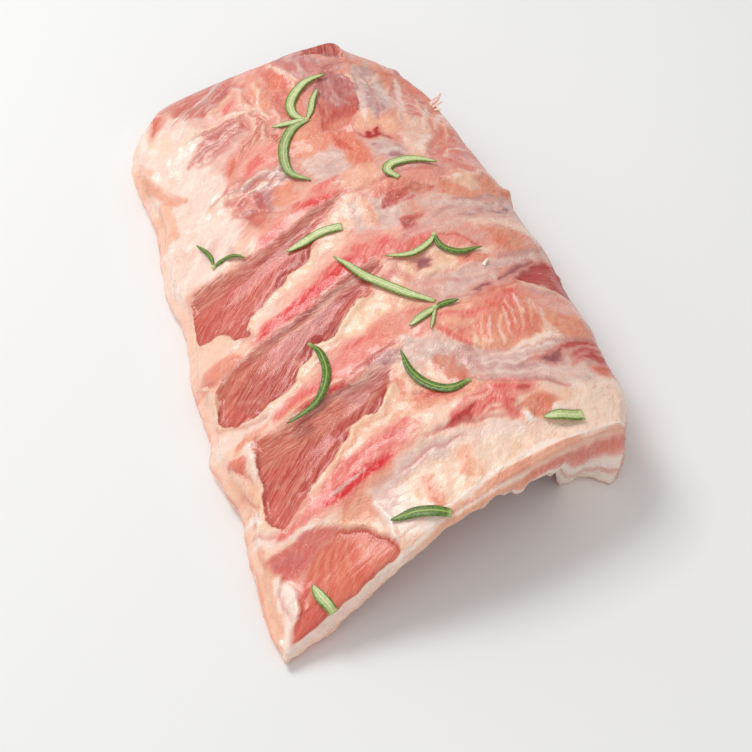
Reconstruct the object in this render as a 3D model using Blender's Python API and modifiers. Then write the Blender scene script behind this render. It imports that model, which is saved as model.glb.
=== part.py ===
"""A rack of six raw pork ribs, lying arched with its bones down, and the rosemary on top of it.

The rack is one closed solid. Its plan is a patch between four edge curves: the thin breast edge on the
left (-X), the thick chine edge on the right (+X), the cut near end (-Y) and the cut far end (+Y). Its
height is an arch from the breast edge over a crest to the chine edge, and the ribs show as low ridges
across the top and as rounder ones underneath. Each sprig of rosemary is a solid of its own.

Metres, +Z up. The origin is at the middle of the rack's plan, on the surface that it lies on.
"""

import math

import bmesh
import bpy
from mathutils import Vector
from mathutils.bvhtree import BVHTree

MM = 0.001

# Plan of the rack in millimetres: the corner-to-corner curves, each through evenly spread points. The
# breast edge is scalloped at the ribs' own pitch, and the far cut has a tongue and a notch beside it.
BREAST_EDGE = [
    (-64, -135), (-66.3, -121.5), (-66, -108), (-65.8, -95.5), (-63.7, -83), (-65.8, -70), (-68.5, -57),
    (-66.6, -44.5), (-66.7, -31.5), (-66.9, -19), (-64.6, -6), (-63.6, 7), (-65.9, 19.5), (-65.2, 32.5),
    (-63.7, 45), (-61.9, 58), (-63.4, 71), (-64.6, 83.5), (-63.4, 96.5), (-58.6, 109), (-47.5, 122),
]
CHINE_EDGE = [(63.5, -99), (69.5, -76), (68, -48), (66.5, -20), (63.5, 8), (59.5, 38), (55.5, 68), (46, 100)]
NEAR_CUT = [(-64, -135), (-21.5, -121.5), (21, -110), (63.5, -99)]
FAR_CUT = [(-47.5, 122), (-33, 118.5), (-18, 116), (-3, 115), (11, 115.5), (22.5, 114), (28, 104.5), (46, 100)]

# Height of the arch at the near cut, over the middle and at the far cut.
CREST_HEIGHT = (39.5 * MM, 44.5 * MM, 35 * MM)
BREAST_RIM = (7 * MM, 10 * MM, 8 * MM)
CHINE_DROP = (6.5 * MM, 12.5 * MM, 11 * MM)
FLANK_POWER = (1.0, 0.85, 0.85)
CREST_ACROSS = 0.75
CHINE_POWER = 2.2
NEAR_SHARE = 0.22
FAR_SHARE = 0.6

# Meat thickness, and the foot of the chine edge, as shares of the way across.
THICK_AT_BREAST = 18 * MM
THICK_AT_CREST = 12 * MM
NEAR_CUT_THINNING = 0.4
THINNING_SHARE = 0.11
FOOT_INNER = 0.8
FOOT_OUTER = 0.89
RIM_ROUND = 2.6 * MM
RIM_AIM_ALONG = 0.02
RIM_AIM_ACROSS = 0.03
# The cut under the chine end of the near edge leans back by this much, fading over this share of the length.
NEAR_LEAN = 9 * MM
NEAR_LEAN_SHARE = 0.22
NEAR_LEAN_ACROSS = (0.45, 0.8, 0.9, 1.0)
# The shares of the way in from an edge over which ridges and hollows reach their full height.
RIDGE_FADE = 0.08
RELIEF_FADE_ACROSS = 0.06
RELIEF_FADE_ALONG = 0.04

# Ribs: where each centre line crosses x = -25 mm, and how every line bends across the arch.
RIB_Y = [-88, -53, -14, 21, 56, 94]
RIB_BEND = [(-70, -17), (-50, -9.5), (-25, 0), (0, 7), (25, 8.5), (50, 5), (75, -3)]
RIB_HALF_WIDTH = 9 * MM
RIB_RISE_TOP = 2.2 * MM
RIB_RISE_UNDER = 3.5 * MM

# Bare muscle between the ribs, sunk below the fat around it, and lumps of fat and lean, all as ellipses:
# (x, y, half length, half width in mm, turn in degrees, height in mm).
HOLLOWS_AND_LUMPS = [
    (-37, -1, 27, 10, 20, -1.9),
    (-36, -36, 30, 9.5, 22, -1.9),
    (-36, -71, 32, 10, 24, -1.9),
    (-42, -101, 17, 7, 15, -1.2),
    (10, 84, 13, 26, 12, -1.4),
    (-31, 80, 13, 6, 30, -0.9),
    (21, 15, 9, 5, 20, -1.3),
    (-1, -20, 6, 4, 30, -1.0),
    (47, -83, 15, 12, 0, 1.6),
    (-54, 92, 9, 20, 0, 1.2),
    (40, -20, 20, 8, 0, -0.9),
    (44, 62, 9, 30, 8, 1.0),
    (-8, -99, 18, 9, -10, 1.3),
]
HOLLOW_INNER = 0.55
HOLLOW_OUTER = 1.2

# Facets of the rack's box before it is shaped.
CELLS_ACROSS = 30
CELLS_ALONG = 52
CELLS_HIGH = 3

# Rosemary.
LEAF_THICK = 0.9 * MM
LEAF_CELLS_ALONG = 8
LEAF_CELLS_ACROSS = 2
LEAF_GAP = 0.55 * MM
LEAF_EASING = 3
STEM_RADIUS = 0.9 * MM
STEM_REACH = 2.7 * MM
TIP_WIDTH = 0.14
BASE_WIDTH = 0.45


def smooth(low, high, value):
    """0 below low, 1 above high, and an easy S between them."""
    share = min(1.0, max(0.0, (value - low) / (high - low)))
    return share * share * (3 - 2 * share)


def curve_point(points, share):
    """The point at share 0 to 1 of a smooth curve through evenly spread points (Catmull-Rom)."""
    place = min(max(share, 0.0), 1.0) * (len(points) - 1)
    i = min(int(place), len(points) - 2)
    f = place - i
    p1, p2 = Vector(points[i]), Vector(points[i + 1])
    p0 = Vector(points[i - 1]) if i else p1 * 2 - p2
    p3 = Vector(points[i + 2]) if i + 2 < len(points) else p2 * 2 - p1
    return 0.5 * (2 * p1 + (p2 - p0) * f + (2 * p0 - 5 * p1 + 4 * p2 - p3) * f * f
                  + (3 * p1 - p0 - 3 * p2 + p3) * f ** 3)


def value_at(knots, x):
    """A value on straight lines between knots (x, value)."""
    for (x0, v0), (x1, v1) in zip(knots, knots[1:]):
        if x <= x1:
            return v0 + (v1 - v0) * min(1.0, max(0.0, (x - x0) / (x1 - x0)))
    return knots[-1][1]


def plan(along, across):
    """Plan position in metres at shares of the way along (near to far) and across (breast to chine)."""
    sides = curve_point(BREAST_EDGE, along) * (1 - across) + curve_point(CHINE_EDGE, along) * across
    ends = curve_point(NEAR_CUT, across) * (1 - along) + curve_point(FAR_CUT, across) * along
    near = Vector(NEAR_CUT[0]) * (1 - across) + Vector(NEAR_CUT[-1]) * across
    far = Vector(FAR_CUT[0]) * (1 - across) + Vector(FAR_CUT[-1]) * across
    return (sides + ends - (near * (1 - along) + far * along)) * MM


def plan_centre():
    """Middle of the plan's bounding box, which becomes the origin."""
    rim = [plan(i / 200, side) for i in range(201) for side in (0, 1)]
    rim += [plan(end, i / 200) for i in range(201) for end in (0, 1)]
    return Vector([(max(p[k] for p in rim) + min(p[k] for p in rim)) / 2 for k in (0, 1)])


def along_mix(values, along):
    """A (near, middle, far) value at a share of the way along."""
    near, middle, far = values
    body = near + (middle - near) * smooth(0, NEAR_SHARE, along)
    return body + (far - body) * smooth(FAR_SHARE, 1, along)


def rib_ridge(x, y):
    """0 between ribs to 1 on a rib's centre line, at a plan position in metres."""
    bend = value_at(RIB_BEND, x / MM) * MM
    return sum(math.exp(-(((y - rib * MM - bend) / RIB_HALF_WIDTH) ** 2)) for rib in RIB_Y)


def arch_height(along, across):
    """Height of the top before the ribs: a sine flank up to the crest, then a bow down to the chine."""
    rim, crest = along_mix(BREAST_RIM, along), along_mix(CREST_HEIGHT, along)
    if across < CREST_ACROSS:
        climb = (across / CREST_ACROSS) ** along_mix(FLANK_POWER, along)
        return rim + (crest - rim) * math.sin(math.pi / 2 * climb)
    fall = ((across - CREST_ACROSS) / (1 - CREST_ACROSS)) ** CHINE_POWER
    return crest - along_mix(CHINE_DROP, along) * fall


def relief(x, y):
    """Height that the hollows and lumps add at a plan position in metres."""
    total = 0.0
    for centre_x, centre_y, half_length, half_width, turn, height in HOLLOWS_AND_LUMPS:
        dx, dy = x / MM - centre_x, y / MM - centre_y
        c, s = math.cos(math.radians(turn)), math.sin(math.radians(turn))
        radius = math.hypot((c * dx + s * dy) / half_length, (c * dy - s * dx) / half_width)
        total += height * MM * (1 - smooth(HOLLOW_INNER, HOLLOW_OUTER, radius))
    return total


def top_height(along, across):
    """Top surface, with the ribs as ridges and the meat between them a little sunk."""
    x, y = plan(along, across)
    fade = smooth(0, RELIEF_FADE_ACROSS, min(across, 1 - across)) * smooth(0, RELIEF_FADE_ALONG, along)
    ridges = RIB_RISE_TOP * (rib_ridge(x, y) - 0.5) * smooth(0, RIDGE_FADE, along)
    return arch_height(along, across) + ridges + relief(x, y) * fade


def under_height(along, across):
    """Underside: flat on the table at both long edges, vaulted between them, with round ribs."""
    x, y = plan(along, across)
    thick = THICK_AT_BREAST + (THICK_AT_CREST - THICK_AT_BREAST) * smooth(0, 0.4, across)
    thick *= 1 - NEAR_CUT_THINNING * (1 - smooth(0, THINNING_SHARE, along)) * smooth(0.1, 0.5, across)
    vault = arch_height(along, across) - thick
    vault -= RIB_RISE_UNDER * rib_ridge(x, y) * smooth(0.1, 0.3, across) * smooth(0, 0.1, along)
    return max(0.0, vault * (1 - smooth(FOOT_INNER, FOOT_OUTER, across)))


def rack_point(along, across, up):
    """Where a point of the unit box goes: up is 0 underneath, 1 on top, and between them on the rim."""
    low, high = under_height(along, across), top_height(along, across)
    place = plan(along, across)
    aim_along = min(max(along, RIM_AIM_ALONG), 1 - RIM_AIM_ALONG)
    aim_across = min(max(across, RIM_AIM_ACROSS), 1 - RIM_AIM_ACROSS)
    if (aim_along, aim_across) != (along, across):
        inward = (plan(aim_along, aim_across) - place).normalized()
        place = place + inward * RIM_ROUND * (1 - math.sin(math.pi * up))
    start, full, easing, end = NEAR_LEAN_ACROSS
    lean = smooth(start, full, across) * (1 - smooth(easing, end, across))
    place.y += NEAR_LEAN * lean * (1 - smooth(0, NEAR_LEAN_SHARE, along)) * (1 - up)
    return Vector((place.x, place.y, low + (high - low) * up))


def material(name, colour, roughness):
    """A plain finish, kept in the source with the shape."""
    made = bpy.data.materials.new(name)
    made.use_nodes = True
    shader = made.node_tree.nodes["Principled BSDF"]
    shader.inputs["Base Color"].default_value = (*colour, 1)
    shader.inputs["Roughness"].default_value = roughness
    shader.inputs["Metallic"].default_value = 0
    return made


def link_object(name, bm, collection, finish):
    """A named object from a bmesh, which it frees."""
    mesh = bpy.data.meshes.new(name)
    bm.to_mesh(mesh)
    bm.free()
    mesh.materials.append(finish)
    mesh.shade_smooth()
    made = bpy.data.objects.new(name, mesh)
    collection.objects.link(made)
    return made


def cut_edges(bm, axis, cuts):
    """Splits every edge of the box that runs along one axis."""
    edges = [e for e in bm.edges if abs((e.verts[0].co - e.verts[1].co).normalized()[axis]) > 0.9]
    bmesh.ops.subdivide_edges(bm, edges=edges, cuts=cuts, use_grid_fill=True)


def build_rack(collection, finish, centre):
    """The ribs and the meat on them: a box cut into a grid and bent to the arch."""
    bm = bmesh.new()
    bmesh.ops.create_cube(bm, size=1)
    for axis, cells in enumerate((CELLS_ACROSS, CELLS_ALONG, CELLS_HIGH)):
        cut_edges(bm, axis, cells - 1)
    for vert in bm.verts:
        across, along, up = (c + 0.5 for c in vert.co)
        point = rack_point(along, across, up)
        vert.co = (point.x - centre.x, point.y - centre.y, point.z)
    bmesh.ops.triangulate(bm, faces=bm.faces)
    return link_object("rack", bm, collection, finish)


class Surface:
    """The top of the rack, for laying leaves on."""

    def __init__(self, rack):
        self.tree = BVHTree.FromObject(rack, bpy.context.evaluated_depsgraph_get())

    def height(self, x, y):
        """Height of the rack under a plan point, or None beside it."""
        hit = self.tree.ray_cast(Vector((x, y, 0.2)), Vector((0, 0, -1)))[0]
        return None if hit is None else hit.z


def leaf_width(share, base_width):
    """Half width of a leaf, as a share of its widest: full in the middle, narrow at the tip."""
    rise = base_width + (1 - base_width) * smooth(0, 0.3, share)
    return rise * (TIP_WIDTH + (1 - TIP_WIDTH) * math.sqrt(max(0.0, 1 - smooth(0.45, 1.0, share) ** 2)))


def leaf_rows(path, width, base_width):
    """Plan points of a leaf: for each station along it, the two margins with the midrib between them."""
    rows = []
    for i in range(LEAF_CELLS_ALONG + 1):
        share = i / LEAF_CELLS_ALONG
        here = curve_point(path, share)
        ahead = curve_point(path, min(1, share + 0.02)) - curve_point(path, max(0, share - 0.02))
        left = Vector((-ahead.y, ahead.x)).normalized() * leaf_width(share, base_width) * width / 2
        rows.append([here + left * side for side in (-1, 0, 1)])
    return rows


def leaf_heights(rows, surface, lift):
    """Heights for the plan points of a leaf: on the rack with the gap under it, bridging small hollows."""
    known = [[surface.height(p.x, p.y) for p in row] for row in rows]
    for row in known:
        found = [h for h in row if h is not None]
        row[:] = [min(found) if h is None and found else h for h in row]
    for i in range(len(known) - 1, -1, -1):
        if None in known[i]:
            known[i] = list(known[i + 1])
    eased = known
    for _ in range(LEAF_EASING):
        ends = [eased[0]] + eased + [eased[-1]]
        eased = [[(ends[i][k] + ends[i + 1][k] + ends[i + 2][k]) / 3 for k in range(3)]
                 for i in range(len(known))]
    return [[max(low, mean) + LEAF_GAP + lift * (i / LEAF_CELLS_ALONG) ** 2 for low, mean in zip(row, other)]
            for i, (row, other) in enumerate(zip(known, eased))]


def build_leaf(name, collection, finish, surface, centre, points, width, base_width, lift):
    """One needle-like leaf along a plan path in millimetres, from its base to its tip."""
    path = [(x * MM - centre.x, y * MM - centre.y) for x, y in points]
    rows = leaf_rows(path, width, base_width)
    heights = leaf_heights(rows, surface, lift)
    bm = bmesh.new()
    bmesh.ops.create_grid(bm, x_segments=LEAF_CELLS_ALONG, y_segments=LEAF_CELLS_ACROSS, size=0.5)
    for vert in bm.verts:
        station = round((vert.co.x + 0.5) * LEAF_CELLS_ALONG)
        side = round((vert.co.y + 0.5) * LEAF_CELLS_ACROSS)
        place = rows[station][side]
        vert.co = (place.x, place.y, heights[station][side])
    leaf = link_object(name, bm, collection, finish)
    body = leaf.modifiers.new("thickness", "SOLIDIFY")
    body.thickness = LEAF_THICK
    body.offset = 1
    return leaf


def build_stem(name, collection, finish, place, radius):
    """The bit of stem where the leaves of a sprig join: a round bead."""
    bm = bmesh.new()
    bmesh.ops.create_icosphere(bm, subdivisions=1, radius=radius)
    bmesh.ops.translate(bm, verts=bm.verts, vec=place)
    return link_object(name, bm, collection, finish)


# Each sprig: its leaves as (path from base to tip in plan millimetres, width in mm, width at the base as
# a share, and how far the tip lifts in mm).
SPRIGS = {
    "rosemary_tip_of_four": [
        ([(0.4, 69), (-3, 76), (-2, 84), (5, 91.5), (14.5, 93.5)], 4.0, BASE_WIDTH, 0.8),
        ([(0.4, 69), (3.5, 75), (6, 81), (9.6, 87)], 2.6, BASE_WIDTH, 1.2),
        ([(0.4, 69), (-3, 70.2), (-7, 71.7), (-12.3, 73)], 3.0, BASE_WIDTH, 0.4),
        ([(0.4, 69), (-6.7, 65.6), (-12.2, 57), (-13.2, 45), (-7.3, 36.6)], 4.0, BASE_WIDTH, 0.5),
    ],
    "rosemary_hook": [([(21.5, 22.6), (18.6, 27), (21.5, 29.7), (29, 29.3), (37.1, 25.9)], 3.8, 0.6, 0.8)],
    "rosemary_straight_cut": [([(-3.4, 10), (-10, 10.8), (-17, 10.6), (-24, 9.7)], 3.8, 1.0, 0.3)],
    "rosemary_fork_left": [
        ([(-49, 17.8), (-48.8, 23), (-50, 28), (-51.8, 32.5)], 1.8, BASE_WIDTH, 0.6),
        ([(-49, 17.8), (-45.8, 18.3), (-41.8, 16.8), (-38.1, 13.5)], 1.8, BASE_WIDTH, 0.6),
    ],
    "rosemary_fork_right": [
        ([(24.6, -8.4), (21, -11.3), (14, -13.6), (5.7, -11.8)], 2.6, BASE_WIDTH, 0.6),
        ([(24.6, -8.4), (25.6, -13.4), (31, -17.6), (39, -17.6)], 2.6, BASE_WIDTH, 0.6),
    ],
    "rosemary_long": [
        ([(15.7, -36.2), (7.6, -28.7), (0.6, -20.6), (-5.5, -13), (-10.6, -4)], 3.9, BASE_WIDTH, 0.6),
    ],
    "rosemary_small_sprig": [
        ([(14.5, -40), (11, -41.5), (7.5, -43.2), (3.8, -44.7)], 3.0, 0.7, 0.4),
        ([(14.5, -40), (17.5, -39.4), (20, -39.3), (23, -39.6)], 2.4, 0.7, 0.8),
        ([(14.5, -40), (13, -43), (11.5, -46), (10, -48.8)], 1.4, 0.8, 0.4),
    ],
    "rosemary_bow_left": [
        ([(-27.8, -33), (-25.7, -41), (-26.8, -51), (-32, -58.5), (-43.5, -61.8)], 3.0, 0.5, 0.5),
    ],
    "rosemary_bow_right": [([(16, -72), (9, -73), (3, -68.5), (-1, -61), (-1.8, -53)], 3.4, 0.5, 1.0)],
    "rosemary_cut_tip": [([(47.7, -93.3), (43.4, -93), (39, -92.4), (34.4, -91.6)], 4.4, 1.0, 0.3)],
    "rosemary_at_near_cut": [([(-5.5, -114.2), (-10, -111.8), (-15.5, -109.9), (-22, -109)], 4.2, 0.8, 0.3)],
    "rosemary_short_tip": [([(-47.8, -126.6), (-49, -124), (-49.7, -121.2), (-50, -118.2)], 4.2, 0.9, 0.3)],
}


def build_sprig(name, leaves, collection, helpers, finish, surface, centre):
    """A leaf, or several joined at one stem into a single solid."""
    made = []
    for index, (points, width, base_width, lift) in enumerate(leaves):
        home = helpers if index else collection
        leaf_name = f"{name}_leaf_{index + 1}" if index else name
        made.append(build_leaf(leaf_name, home, finish, surface, centre, points, width * MM, base_width,
                               lift * MM))
    if len(leaves) == 1:
        return
    joint = Vector(leaves[0][0][0]) * MM - centre
    leaf_foot = max(v.co.z for v in made[0].data.vertices if (v.co.xy - joint).length < STEM_REACH)
    place = Vector((joint.x, joint.y, leaf_foot + STEM_RADIUS))
    made.append(build_stem(f"{name}_stem", helpers, finish, place, STEM_RADIUS))
    for helper in made[1:]:
        helper.hide_render = True
        helper.display_type = "WIRE"
        join = made[0].modifiers.new(f"join_{helper.name}", "BOOLEAN")
        join.operation = "UNION"
        join.object = helper


def main():
    """Clears the scene and builds the rack and its rosemary."""
    for old in list(bpy.data.objects):
        bpy.data.objects.remove(old)
    collection = bpy.data.collections.new("rack_of_ribs")
    helpers = bpy.data.collections.new("helpers")
    for made in (collection, helpers):
        bpy.context.scene.collection.children.link(made)
    centre = plan_centre()
    rack = build_rack(collection, material("raw_meat", (0.78, 0.42, 0.33), 0.35), centre)
    bpy.context.view_layer.update()
    surface = Surface(rack)
    leaf_finish = material("rosemary", (0.12, 0.27, 0.05), 0.45)
    for name, leaves in SPRIGS.items():
        build_sprig(name, leaves, collection, helpers, leaf_finish, surface, centre)


main()
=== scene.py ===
"""Looks of a rack of raw pork ribs with rosemary on it, laid out as an add-on.

The rack is one skin over the whole joint of meat: a box cut into a fine grid and bent to the same arch as
the solid, then given its sunk muscles, torn fat edges, folds and cut sides. Where each tissue lies is in the
tables below, on the part's own plan: x runs towards the chine edge and y towards the far cut, from the
middle. The outline, the loose shreds and the rosemary are on the same plan before it is centred. Tables are
in millimetres, Blender is in metres.
"""

import math

import bmesh
import bpy
import numpy as np
from bpy.props import FloatProperty, FloatVectorProperty, IntProperty, PointerProperty
from mathutils import Matrix, Vector
from mathutils.bvhtree import BVHTree


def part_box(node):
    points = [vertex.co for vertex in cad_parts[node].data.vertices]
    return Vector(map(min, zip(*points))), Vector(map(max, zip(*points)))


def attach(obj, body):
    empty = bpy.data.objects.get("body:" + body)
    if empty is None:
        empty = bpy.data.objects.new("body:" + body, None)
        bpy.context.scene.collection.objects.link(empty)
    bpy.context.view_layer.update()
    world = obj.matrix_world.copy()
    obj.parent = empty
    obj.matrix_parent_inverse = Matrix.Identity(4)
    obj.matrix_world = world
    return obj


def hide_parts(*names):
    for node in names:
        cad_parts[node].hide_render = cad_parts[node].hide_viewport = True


bl_info = {
    "name": "Rack of ribs",
    "version": (1, 0, 0),
    "blender": (4, 5, 0),
    "location": "View3D > Sidebar > Ribs",
    "description": "Dresses a rack of raw ribs and the rosemary on it",
    "category": "Object",
}

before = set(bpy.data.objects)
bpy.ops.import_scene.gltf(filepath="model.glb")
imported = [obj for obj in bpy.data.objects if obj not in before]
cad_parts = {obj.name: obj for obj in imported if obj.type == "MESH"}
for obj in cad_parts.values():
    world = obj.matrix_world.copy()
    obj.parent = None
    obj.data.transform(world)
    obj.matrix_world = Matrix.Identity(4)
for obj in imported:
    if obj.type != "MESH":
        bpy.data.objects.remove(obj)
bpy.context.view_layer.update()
RACK_LOW, RACK_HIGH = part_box("rack")
MM = 0.001


def linear(red, green, blue):
    """A colour as it looks on a screen, 0 to 255, as the linear colour that Blender mixes."""
    shares = [c / 255 for c in (red, green, blue)]
    return tuple(c / 12.92 if c <= 0.04045 else ((c + 0.055) / 1.055) ** 2.4 for c in shares)


# ---------------------------------------------------------------------------------------------------------
# The rack's plan and arch, as in its solid.

BREAST_EDGE = [
    (-64, -135), (-66.3, -121.5), (-66, -108), (-65.8, -95.5), (-63.7, -83), (-65.8, -70), (-68.5, -57),
    (-66.6, -44.5), (-66.7, -31.5), (-66.9, -19), (-64.6, -6), (-63.6, 7), (-65.9, 19.5), (-65.2, 32.5),
    (-63.7, 45), (-61.9, 58), (-63.4, 71), (-64.6, 83.5), (-63.4, 96.5), (-58.6, 109), (-47.5, 122),
]
CHINE_EDGE = [(63.5, -99), (69.5, -76), (68, -48), (66.5, -20), (63.5, 8), (59.5, 38), (55.5, 68), (46, 100)]
NEAR_CUT = [(-64, -135), (-21.5, -121.5), (21, -110), (63.5, -99)]
FAR_CUT = [
    (-47.5, 122), (-33, 118.5), (-18, 116), (-3, 115), (11, 115.5), (22.5, 114), (28, 104.5), (46, 100),
]
# Near, middle and far: heights of the crest and breast edge, the fall to the chine, and the flank's bow.
CREST_HEIGHT = (39.5, 44.5, 35)
BREAST_RIM = (7, 10, 8)
CHINE_DROP = (6.5, 12.5, 11)
FLANK_POWER = (1.0, 0.85, 0.85)
# Where across the crest is, and how the top bows down from it to the chine.
CREST_ACROSS, CHINE_POWER = 0.75, 2.2
# Where along the near values end and the far ones begin, and where across the foot lies.
NEAR_SHARE, FAR_SHARE = 0.22, 0.6
FOOT_INNER, FOOT_OUTER = 0.8, 0.89
# How thick the meat is, how much thinner it is at the near cut, and how its rim is rounded and drops.
THICK_AT_BREAST, THICK_AT_CREST = 18, 12
NEAR_CUT_THINNING, THINNING_SHARE = 0.4, 0.11
RIM_ROUND, RIM_AIM = 2.6, 0.03
RIM_DROP, RIM_REACH = 0.9, 4

# Bumps and notches of the rim: place, half width, how far out (below 0, how far in) and how far down.
RIM_BUMPS = [
    (-66, -80, 1.6, 1.0, 0), (47, -95, 2.2, 0.5, 2.0), (52, -94, 1.5, 0.3, 1.5),
    (-64.5, -62, 1.5, 0.9, 0), (14, -106.5, 1.4, 0.5, 1.0), (-42, -125, 1.3, 0.7, 0.8),
    (-30, -121, 1.2, 0.6, 0.8), (-36, -122, 0.9, 0.8, 0.6), (66.8, -62, 1.4, 0.8, 0), (67, -20, 1.6, 0.8, 0),
    (61.6, 24.5, 1.9, 2.4, 0), (48, 84, 13, 4.0, 0), (45, 95, 9, 3.6, 0), (56, 47, 10, 1.3, 0),
    (66, -60, 8, -1.8, 0),
]
# How far in from the rim those reach, and the least height from the underside to the top.
BUMP_REACH = 2.5
THINNEST = 3
# How far the near cut leans back under its rim, over what share of the length, and where across.
NEAR_LEAN, NEAR_LEAN_SHARE = 9, 0.22
NEAR_LEAN_ACROSS = (0.74, 0.86, 0.9, 1.0)
# How far the ragged lower edge of the near cut hangs under the vault, at shares of the way across.
NEAR_HANG = [
    (0.6, 0), (0.64, 2.5), (0.655, 6.5), (0.67, 7.5), (0.685, 3.5), (0.71, 4.5), (0.725, 3.5), (0.76, 7.5),
    (0.79, 13), (0.83, 17), (0.86, 10), (0.89, 0),
]
NEAR_HANG_REACH, NEAR_RAGGED = 0.05, 1.3
FAR_SWELL, FAR_CORNER_SWELL, CHINE_SWELL = 2.0, 3.5, 1.8
# The ribs: how far along each one lies, and how all of them bend on the way across.
RIB_Y = (-88, -53, -14, 21, 56, 94)
RIB_BEND = ((-70, -17), (-50, -9.5), (-25, 0), (0, 7), (25, 8.5), (50, 5), (75, -3))
RIB_HALF_WIDTH, RIB_RISE_TOP, RIB_RISE_UNDER = 9, 2.2, 3.5
RIDGE_FADE = 0.08
RACK_WIDTH, RACK_LENGTH = 131, 250


def smooth(low, high, value):
    """0 below low, 1 above high, and an easy S between them."""
    share = np.clip((value - low) / (high - low), 0, 1)
    return share * share * (3 - 2 * share)


def curve(points, share):
    """Points at shares 0 to 1 of a smooth curve through evenly spread points (Catmull-Rom)."""
    inner = np.array(points, float)
    ends = np.vstack([2 * inner[0] - inner[1], inner, 2 * inner[-1] - inner[-2]])
    place = np.clip(share, 0, 1) * (len(inner) - 1)
    i = np.minimum(place.astype(int), len(inner) - 2)
    f = (place - i)[..., None]
    p0, p1, p2, p3 = ends[i], ends[i + 1], ends[i + 2], ends[i + 3]
    return 0.5 * (2 * p1 + (p2 - p0) * f + (2 * p0 - 5 * p1 + 4 * p2 - p3) * f ** 2
                  + (3 * p1 - p0 - 3 * p2 + p3) * f ** 3)


def raw_plan(along, across):
    """Plan position in millimetres, before the rack is centred."""
    a, b = along[..., None], across[..., None]
    sides = curve(BREAST_EDGE, along) * (1 - b) + curve(CHINE_EDGE, along) * b
    ends = curve(NEAR_CUT, across) * (1 - a) + curve(FAR_CUT, across) * a
    near = np.array(NEAR_CUT[0]) * (1 - b) + np.array(NEAR_CUT[-1]) * b
    far = np.array(FAR_CUT[0]) * (1 - b) + np.array(FAR_CUT[-1]) * b
    return sides + ends - near * (1 - a) - far * a


def plan_shift():
    """What centres the plan on the solid's own box."""
    share, zero, one = np.linspace(0, 1, 201), np.zeros(201), np.ones(201)
    rim = np.vstack([raw_plan(share, zero), raw_plan(share, one),
                     raw_plan(zero, share), raw_plan(one, share)])
    middle = np.array([(RACK_LOW.x + RACK_HIGH.x) / 2, (RACK_LOW.y + RACK_HIGH.y) / 2]) / MM
    return middle - (rim.max(0) + rim.min(0)) / 2


PLAN_SHIFT = plan_shift()


def plan(along, across):
    """Plan position in millimetres in the part's frame, as two arrays."""
    place = raw_plan(along, across) + PLAN_SHIFT
    return place[..., 0], place[..., 1]


def along_mix(values, along):
    """A (near, middle, far) value at shares of the way along."""
    near, middle, far = values
    body = near + (middle - near) * smooth(0, NEAR_SHARE, along)
    return body + (far - body) * smooth(FAR_SHARE, 1, along)


def rim_distance(across, along):
    """About how far each place is from the rim, in millimetres."""
    sideways = np.minimum(across, 1 - across) * RACK_WIDTH
    endways = np.minimum(along, 1 - along) * RACK_LENGTH
    return np.minimum(sideways, endways)


def rib_offsets(x, y):
    """How far each place lies from each rib's centre line, towards the far cut, a row for each rib."""
    bend = np.interp(x - PLAN_SHIFT[0], *zip(*RIB_BEND))
    return np.stack([y - PLAN_SHIFT[1] - rib - bend for rib in RIB_Y])


def rib_ridge(x, y):
    """0 between ribs to 1 on a rib's centre line."""
    return np.exp(-(rib_offsets(x, y) / RIB_HALF_WIDTH) ** 2).sum(0)


def arch_height(along, across):
    """Height of the top before the ribs: a flank up to the crest, then a bow down to the chine."""
    rim, crest = along_mix(BREAST_RIM, along), along_mix(CREST_HEIGHT, along)
    climb = np.clip(across / CREST_ACROSS, 0, 1) ** along_mix(FLANK_POWER, along)
    fall = np.clip((across - CREST_ACROSS) / (1 - CREST_ACROSS), 0, 1) ** CHINE_POWER
    return rim + (crest - rim) * np.sin(math.pi / 2 * climb) - along_mix(CHINE_DROP, along) * fall


def under_height(along, across, x, y):
    """Underside: flat on the table at both long edges, vaulted between them, with round ribs."""
    thick = THICK_AT_BREAST + (THICK_AT_CREST - THICK_AT_BREAST) * smooth(0, 0.4, across)
    thinning = NEAR_CUT_THINNING * (1 - smooth(0, THINNING_SHARE, along)) * smooth(0.1, 0.5, across)
    thick = thick * (1 - thinning)
    vault = arch_height(along, across) - thick
    vault = vault - RIB_RISE_UNDER * rib_ridge(x, y) * smooth(0.1, 0.3, across) * smooth(0, 0.1, along)
    return np.maximum(0, vault * (1 - smooth(FOOT_INNER, FOOT_OUTER, across)))


# ---------------------------------------------------------------------------------------------------------
# Repeatable unevenness.

def lattice(ix, iy, seed):
    """A repeatable value from -1 to 1 for each corner of a square lattice."""
    mixed = (ix * 374761393 + iy * 668265263 + seed * 1442695041) & 0xFFFFFFFF
    mixed = ((mixed ^ (mixed >> 13)) * 1274126177) & 0xFFFFFFFF
    return ((mixed ^ (mixed >> 16)) & 0xFFFF) / 32767.5 - 1


def ripple(x, y, size, seed):
    """Smooth unevenness from -1 to 1 whose bumps are about size apart."""
    u, v = x / size, y / size
    ix, iy = np.floor(u).astype(np.int64), np.floor(v).astype(np.int64)
    fu, fv = u - ix, v - iy
    fu, fv = fu * fu * (3 - 2 * fu), fv * fv * (3 - 2 * fv)
    near = lattice(ix, iy, seed) * (1 - fu) + lattice(ix + 1, iy, seed) * fu
    far = lattice(ix, iy + 1, seed) * (1 - fu) + lattice(ix + 1, iy + 1, seed) * fu
    return near * (1 - fv) + far * fv


def grainy(x, y, size, seed, octaves=3):
    """Unevenness of several sizes, each half the last."""
    total = sum(ripple(x * 0.8 + y * 0.6, y * 0.8 - x * 0.6, size / 2 ** k, seed + k) / 2 ** k
                for k in range(octaves))
    return total / (2 - 0.5 ** (octaves - 1))


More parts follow.
